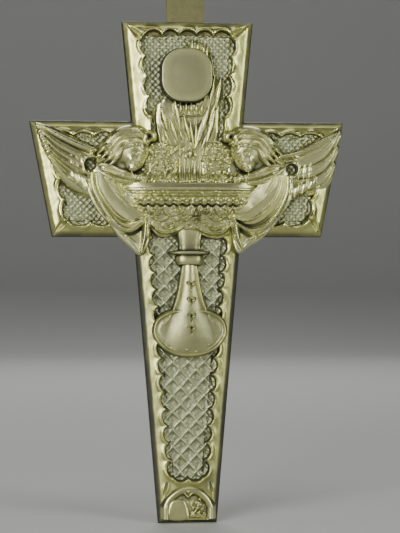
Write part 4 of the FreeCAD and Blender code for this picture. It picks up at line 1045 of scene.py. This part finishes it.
def make_right_wing():
    """A wing of three broad feathers, each over the one below it."""
    wing = mount(34.6, 63.4, 126.2, 160.4, 0.145)
    sheet = [(59.6, 155.4), (46, 149), (40, 148), (36.2, 147.6), (36, 144.6), (41, 139.4),
             (38.4, 136.4), (38.6, 131), (41, 129), (45, 131.4), (50, 135), (56, 139.8),
             (57.4, 144), (58.4, 150)]
    wing.panel(sheet, 3.7, 0.5, 0.5, per=3)
    for i, quill in enumerate((((43.6, 134.4), (48.6, 136.2), (54.4, 139.4), (58.8, 144)),
                               ((44, 139.6), (49, 141.2), (55, 144.8), (60, 150.4)),
                               ((44, 144), (49.6, 146.4), (55.4, 150.2), (61, 156.4)))):
        wing.stroke([(x, z, half, 4.3 + 0.35 * i + step) for (x, z), half, step in
                     zip(quill, (2, 3.1, 2.9, 0.9), (0, 0.25, 0.35, 0.15))],
                    rise=0.75, blend=0.04, lean=0.18)
        # two fine lines that follow it, and a deep one under it
        for k in (-0.4, 0.3):
            wing.emboss([(x + 0.42 * k * w, z - 0.9 * k * w, 0.4, h) for (x, z), w, h in
                         zip(quill, (1.9, 2.8, 2.5, 0.9), (-0.1, -0.2, -0.22, 0))])
        wing.emboss([(x + 0.42 * w, z - 0.9 * w, 0.45, -0.75) for (x, z), w in
                     zip(quill, (2.0, 3.0, 2.8, 1.2))])
    # bold upright coverts near the root, and small rounded lobes along the lower edge
    for i in range(3):
        x = 44.6 + i * 2.2
        wing.stroke([(x + 0.5, 145.2 - abs(i - 1.5) * 0.4, 0.5, 4.5), (x + 0.1, 141.6, 0.85, 5.0),
                     (x - 0.3, 137.4 + i * 0.3, 0.4, 4.6)], rise=0.8, blend=0.4)
    for ends in ((51.4, 138.6, 48.6, 134), (47.8, 137.6, 45.8, 132), (44.6, 136.4, 42.6, 130.4),
                 (41.8, 135.2, 40.4, 130), (41.4, 139, 39.8, 134)):
        wing.leaf(*ends, (0.6, 4.9), (1.5, 5.5), (0.7, 4.9), rise=0.9, blend=0.06)
    # painted light: the last number makes the wing brighter all over
    finish_wing(wing, 1, [(61.2, 156.8, 0.4, 4.9), (56, 154.2, 0.8, 5.3), (50.6, 151.2, 1, 5.5),
                          (45.4, 148.4, 1, 5.4), (40.6, 147.2, 0.9, 5.3), (36.8, 146.4, 0.9, 5.2)],
                [(57.4, 153.4, 0.3, -0.4), (51.2, 149.8, 0.4, -0.6), (45.8, 147, 0.36, -0.5)],
                (44.0, 146.6, 1.15, 1.1, 4.4, 5.9),
                [(39.6, 144.6), (41.6, 145), (43.8, 144), (44.6, 141.6), (43.6, 139.2),
                 (41.6, 138.2)],
                94, 0.4)


# ---------------------------------------------------------------- robes
ROBES = {
    -1: {
        "sheet": [(-36.6, 141), (-40, 139.6), (-39.4, 133.4), (-34.8, 124.4), (-28.6, 115.4),
                  (-23.4, 110.4), (-19.4, 107), (-17, 109.6), (-15.6, 113.2), (-16.4, 118),
                  (-16.2, 122.6), (-18.8, 124.6), (-24.4, 128.6), (-26, 131), (-25.6, 136.4),
                  (-30.0, 139.2)],
        "outer": [(-38.6, 139.8), (-37.9, 133.4), (-33.4, 125), (-28.2, 118.8), (-23.2, 117),
                  (-18.0, 120.2)],
        "second": [(-37, 139.4), (-35.8, 133), (-31.2, 125.6), (-26, 121.2), (-21, 120.6),
                   (-17.2, 122.6)],
        "inner": [(-33, 139.6), (-30.6, 134.4), (-25.2, 128.2), (-20.4, 125), (-16.6, 123.4)],
        "grooves": [[(-34.4, 129), (-29.4, 123), (-24.6, 120.2), (-18.4, 121.8)],
                    [(-31, 121.8), (-26.8, 117.2), (-22.6, 115.6), (-17.8, 118.6)]],
        "tail": [[(-17.2, 121.4), (-17.6, 115), (-19, 108.4)], [(-16.4, 119.6), (-16, 114.4)],
                 [(-24.8, 114.8), (-21.6, 111.8), (-19.6, 108.4)]],
        "pleats": [[(-34, 139.4), (-31.2, 135.4), (-27.8, 131.4)],
                   [(-32, 139.2), (-29, 134.6), (-26.4, 131.2)],
                   [(-30.2, 138.8), (-27.6, 135), (-25.6, 131.4)],
                   [(-28.2, 138), (-26.6, 134.8), (-25.4, 132.4)]],
        "gather": (-16.9, 121.9),
    },
    1: {
        "sheet": [(37.6, 141), (41, 138.4), (40.8, 132.2), (38.6, 125.4), (34.8, 119.2),
                  (29.2, 113.6), (24.4, 110.6), (20.2, 107.8), (18.2, 111), (17.4, 115.6),
                  (17.6, 121.6), (20.6, 123.6), (26.4, 126.8), (30, 130.2), (30.6, 135.8),
                  (33.8, 138.4)],
        "outer": [(39.8, 138.4), (39.2, 131.6), (36, 124.8), (31.2, 119.2), (25.2, 116.8),
                  (19.4, 120.0)],
        "second": [(37.6, 139.2), (36.4, 132.8), (32.6, 126.8), (27, 122.4), (22, 121),
                   (18.4, 122.0)],
        "inner": [(36, 138.8), (34.4, 134.4), (30.6, 129.4), (25.4, 125.4), (18.8, 122.8)],
        "grooves": [[(37, 129.6), (33.4, 123.8), (28.4, 119.8), (23.4, 118.8), (19.4, 121)],
                    [(34.6, 120.6), (30.2, 116.2), (25, 114.6), (19.4, 118)]],
        "tail": [[(18.6, 121), (19.6, 115), (21.6, 109.8)], [(18.2, 118.6), (18.6, 113.4)],
                 [(26.8, 114.6), (23.8, 112.2), (21.4, 109.4)]],
        "pleats": [[(37.2, 139.2), (35, 134.6), (32.2, 131.2)],
                   [(35.6, 138.6), (33.4, 134.2), (31, 131)],
                   [(34, 138), (32.2, 134.4), (30.4, 131.8)]],
        "gather": (18.2, 121.4),
    },
}


def make_robe(side, which):
    """A robe's drapery, which sags from the shoulder to a gather and hangs from it in a tail."""
    plan = ROBES[side]
    xs = [x for x, _ in plan["sheet"]]
    robe = mount(min(xs) - 2.0, max(xs) + 2.0, 104.8, 143.2, 0.15)
    gx, gz = plan["gather"]

    def level(x, z):
        away = np.hypot(x - gx, z - gz)
        return 5.0 + 0.5 * hump(away - 12.0, 8.0)
    robe.panel(plan["sheet"], level, 1.0, 0.8, per=4)

    def fold(line, half, top, rise=0.9, shape="round", blend=0.35):
        count = len(line) - 1
        points = []
        for i, (x, z) in enumerate(line):
            taper = math.sin(math.pi * (0.16 + 0.7 * i / count))
            points.append((x, z, half * (0.45 + 0.6 * taper), top - 0.35 + 0.4 * taper))
        robe.stroke(points, rise=rise, shape=shape, blend=blend)

    # the smooth sagging panel between the shoulder and the gather, then the folds round it
    fold([((a[0] + b[0]) / 2, (a[1] + b[1]) / 2) for a,
          b in zip(plan["second"][:5], plan["inner"])],
         4.2, 6.3, 0.5, blend=0.6)
    fold(plan["second"], 0.8, 7.0, 1.1)
    fold(plan["outer"], 1.15, 7.15, 1.4)
    fold(plan["inner"], 0.55, 6.6, 0.7)
    for line in plan["grooves"]:
        robe.emboss([(x, z, 0.85, -1.1 * min(1.0, 0.45 * i)) for i, (x, z) in enumerate(line)])
    for i, line in enumerate(plan["pleats"]):
        fold(line, 0.5, 6.7 - 0.1 * i, 1.0, "tent", 0.08)
    fold(plan["tail"][0], 0.85, 6.9, 1.1, "tent", 0.2)
    fold(plan["tail"][1], 0.5, 6.2, 0.8, "tent", 0.15)
    fold(plan["tail"][2], 0.9, 6.0, 0.7, blend=0.3)
    for k in range(5):
        turn = -0.5 + k * 0.55
        robe.emboss([(gx, gz, 0.3, 0.35),
                     (gx + side * 2.4 * math.cos(turn), gz - 2.4 * math.sin(turn), 0.2, 0.25)], 2)
    robe.dome(gx, gz, 1.2, 0.9, 5.4, 7.1, side * 0.5, 0.3)
    robe.roughen(0.5, (0.05, 1.8, 95), (0.02, 0.7, 96))
    gap(robe, side)
    # painted light: the robe is made brighter all over
    robe.cast(which + "_robe", shade=0.35)


# ---------------------------------------------------------------- foot
def make_arch():
    """The round-topped niche's panel and its raised edge."""
    arch = Relief(-12.2, 12.2, -0.6, 16.8, 0.13, MOUNT_BACK)
    x, z = arch.gx, arch.gz
    panel = niche_distance(x, z, 0.0, 1.2)
    arch.fill(2.5 + 0.16 * arch.noise(1.0, 97) - 9 * np.maximum(panel, 0))
    edge = niche_distance(x, z, 0.3, 0.4) + 0.12 * arch.noise(2.4, 98)
    ridge = 4.6 - 1.2 * (np.abs(edge) / 1.5) ** 2
    ridge = np.where((np.abs(edge) < 2.3) & (z > 1.7), ridge, arch.floor)
    arch.h = smooth_max(arch.h, np.maximum(ridge, arch.floor), 0.3).astype(np.float32)
    # two small lobes under the crown, with a point between them
    for side in (-1, 1):
        lobe = [(side * 0.2, 10.6), (side * 1.6, 12.0), (side * 3.6, 12.0), (side * 5.6, 10.4)]
        arch.stroke([(px, pz, 0.5, 4.1) for px, pz in lobe], rise=0.9, blend=0.2)
    arch.emboss([(0, 12.6, 0.6, 0.4), (0, 9.8, 0.35, 0.9)])
    arch.emboss([(-8.2, 1.6, 0.5, 0.35), (-8.4, 6.8, 0.5, 0.3)])
    arch.cast("foot_arch")


def make_tomb():
    """The block on the left in the niche."""
    tomb = Relief(-9.0, 1.0, 0.6, 11.0, 0.13, NICHE_BACK)
    block = [(-8, 1.6), (-8, 6.4), (-6.8, 8.8), (-4.2, 9.7), (-1.4, 9), (-0.2, 6.6), (0, 1.6)]
    tomb.panel(block, 3.7, 1.1, 0.8, per=5)
    tomb.roughen(2.6, (0.07, 1.3, 99))
    tomb.cast("foot_tomb")


def make_sprig():
    """The small leafy sprig on the right in the niche."""
    sprig = Relief(-0.4, 8.0, 0.8, 11.6, 0.12, NICHE_BACK)
    sprig.stroke([(1, 3, 0.45, 3.3), (3, 5, 0.5, 3.5), (4.4, 8.4, 0.4, 3.4)], rise=0.8)
    sprig.stroke([(3.8, 4.2, 0.5, 3.9), (5.2, 3, 0.5, 4), (6.6, 1.8, 0.35, 3.5)], rise=0.9)
    for x, z, r in ((1.4, 4.4, 0.9), (2, 6.4, 1), (3.2, 8.4, 1.05), (4.6, 9.6, 0.8),
                    (3.6, 6.2, 0.95),
                    (5, 7.6, 0.9), (5.6, 5.8, 0.95), (4.4, 4.6, 0.8), (2.4, 3.4, 0.8),
                    (6.2, 4.2, 0.7)):
        sprig.dome(x, z, r, r * 0.8, 2.6, 4.0, 0.6, 0.1)
        sprig.emboss([(x - r * 0.6, z - r * 0.4, 0.14, -0.25),
                      (x + r * 0.6, z + r * 0.4, 0.14, -0.25)], 2)
    sprig.cast("foot_sprig")


# ---------------------------------------------------------------- build
make_border()
make_ground()
make_host()
make_glory()
make_rim()
make_bowl()
make_knop()
make_chalice_foot()
for side, which in ((-1, "left"), (1, "right")):
    make_grapes(side, which)
    make_angel(side, which)
    make_robe(side, which)
make_left_wing()
make_right_wing()
make_arch()
make_tomb()
make_sprig()

# ---------------------------------------------------------------- carried-over nodes
FINISH = {"back_plate": "plain_brass", "hanger_strap": "hanger_brass", "bail_ring": "hanger_brass",
          "frame_screws": "fastener_brass", "mount_screws": "fastener_brass",
          "hanger_rivets": "fastener_brass"}
for name, slot in FINISH.items():
    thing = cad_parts[name]
    for material_slot in thing.material_slots:
        material_slot.material = MATERIALS[slot]
    if name in ("back_plate", "hanger_strap"):
        bevel = thing.modifiers.new("worn_edges", "BEVEL")
        bevel.width = 0.45 * MILLIMETRE
        bevel.segments = 3
        bevel.limit_method = "ANGLE"
        bevel.angle_limit = math.radians(40)


def head_places(name):
    """The middle of each screw's head at the back, in millimetres."""
    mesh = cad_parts[name].data
    spots = np.empty(len(mesh.vertices) * 3)
    mesh.vertices.foreach_get("co", spots)
    spots = spots.reshape(-1, 3) * 1000.0
    heads = []
    for x, y, z in spots[spots[:, 1] > spots[:, 1].max() - 0.01]:
        for head in heads:
            if math.hypot(x - head[0][0], z - head[0][1]) < 3.3:
                head.append((x, z))
                break
        else:
            heads.append([(x, z)])
    return [((min(p[0] for p in head) + max(p[0] for p in head)) / 2,
             (min(p[1] for p in head) + max(p[1] for p in head)) / 2) for head in heads]


def make_screw_slots():
    """The two halves of each slotted head, as every screw at the back was left turned."""
    chance = np.random.default_rng(71)
    bm = bmesh.new()
    places = head_places("frame_screws") + head_places("mount_screws")
    half_slot, steps = 0.34, 17
    for x, z in places:
        turn = chance.uniform(0.0, math.pi)
        for half in (0.0, math.pi):
            rings = []
            for radius, y in ((1.5, 2.72), (1.5, 2.86), (1.36, 2.95)):
                reach = math.acos(half_slot / radius)
                angles = [turn + half + reach * (k / 8 - 1.0) for k in range(steps)]
                rings.append([bm.verts.new((
                    (x + radius * math.cos(a)) * MILLIMETRE, y * MILLIMETRE,
                    (z + radius * math.sin(a)) * MILLIMETRE)) for a in angles])
            for low, high in zip(rings, rings[1:]):
                for k in range(steps):
                    after = (k + 1) % steps
                    bm.faces.new((low[k], low[after], high[after], high[k]))
            bm.faces.new(rings[-1])
            bm.faces.new(rings[0][::-1])
    bmesh.ops.recalc_face_normals(bm, faces=bm.faces)
    settle(new_object("screw_slots", bm), "fastener_brass")
    print("slotted heads", len(places))


make_screw_slots()


# ---------------------------------------------------------------- studio
def stage_mesh():
    """One pale sheet that is the floor and sweeps up into the backdrop."""
    front, bend, radius, top, half, below = -2.6, 1.3, 0.9, 3.0, 3.0, 0.0002
    section = [(front, 0.0), (bend, 0.0)]
    for k in range(1, 17):
        a = k / 16 * math.pi / 2
        section.append((bend + radius * math.sin(a), radius - radius * math.cos(a)))
    section.append((2.2, top))
    mesh = bmesh.new()
    rows = [[mesh.verts.new((x, y, z - below)) for x in (-half, half)] for y, z in section]
    for low, high in zip(rows[:-1], rows[1:]):
        mesh.faces.new((low[0], low[1], high[1], high[0])).smooth = True
    floor = new_object("studio_floor", mesh)
    material = bpy.data.materials.new("studio_floor")
    material.use_nodes = True
    shader = material.node_tree.nodes["Principled BSDF"]
    shader.inputs["Base Color"].default_value = (0.62, 0.62, 0.60, 1.0)
    shader.inputs["Roughness"].default_value = 0.85
    floor.data.materials.append(material)


def soft_box(name, azimuth, elevation, distance, wide, high, power, tint=(1.0, 1.0, 1.0)):
    """An area light that looks at the cross, placed by angles in degrees and metres."""
    light = bpy.data.lights.new(name, "AREA")
    light.shape = "RECTANGLE"
    light.size, light.size_y = wide, high
    light.energy = power
    light.color = tint
    lamp = bpy.data.objects.new(name, light)
    a, e = math.radians(azimuth), math.radians(elevation)
    target = Vector((0.0, 0.0, 0.11))
    lamp.location = target + distance * Vector((math.sin(a) * math.cos(e),
                                                -math.cos(a) * math.cos(e),
                                                math.sin(e)))
    lamp.rotation_euler = (lamp.location - target).to_track_quat("Z", "Y").to_euler()
    bpy.context.scene.collection.objects.link(lamp)


stage_mesh()
soft_box("left_box", -32, 3, 1.25, 0.66, 0.95, 20.0)
soft_box("right_box", 44, 3, 1.25, 0.5, 0.95, 8.6, (0.95, 1.0, 0.93))
soft_box("top_fill", 9, 66, 1.4, 0.82, 0.48, 2.5)
soft_box("back_fill", 178, 34, 1.35, 0.8, 0.5, 6.0)
world = bpy.data.worlds.new("studio_world")
world.use_nodes = True
world.node_tree.nodes["Background"].inputs["Color"].default_value = (0.62, 0.63, 0.62, 1.0)
world.node_tree.nodes["Background"].inputs["Strength"].default_value = 0.09
bpy.context.scene.world = world

camera_data = bpy.data.cameras.new("camera")
camera_data.lens = 118.2
camera_data.sensor_width = 36.0
camera = bpy.data.objects.new("camera", camera_data)
azimuth, distance, aim = math.radians(-6.0), 0.7, Vector((0.0048, -0.003, 0.1026))
camera.location = aim + distance * Vector((math.sin(azimuth), -math.cos(azimuth), 0.0))
camera.rotation_euler = (camera.location - aim).to_track_quat("Z", "Y").to_euler()
bpy.context.scene.collection.objects.link(camera)
bpy.context.scene.camera = camera
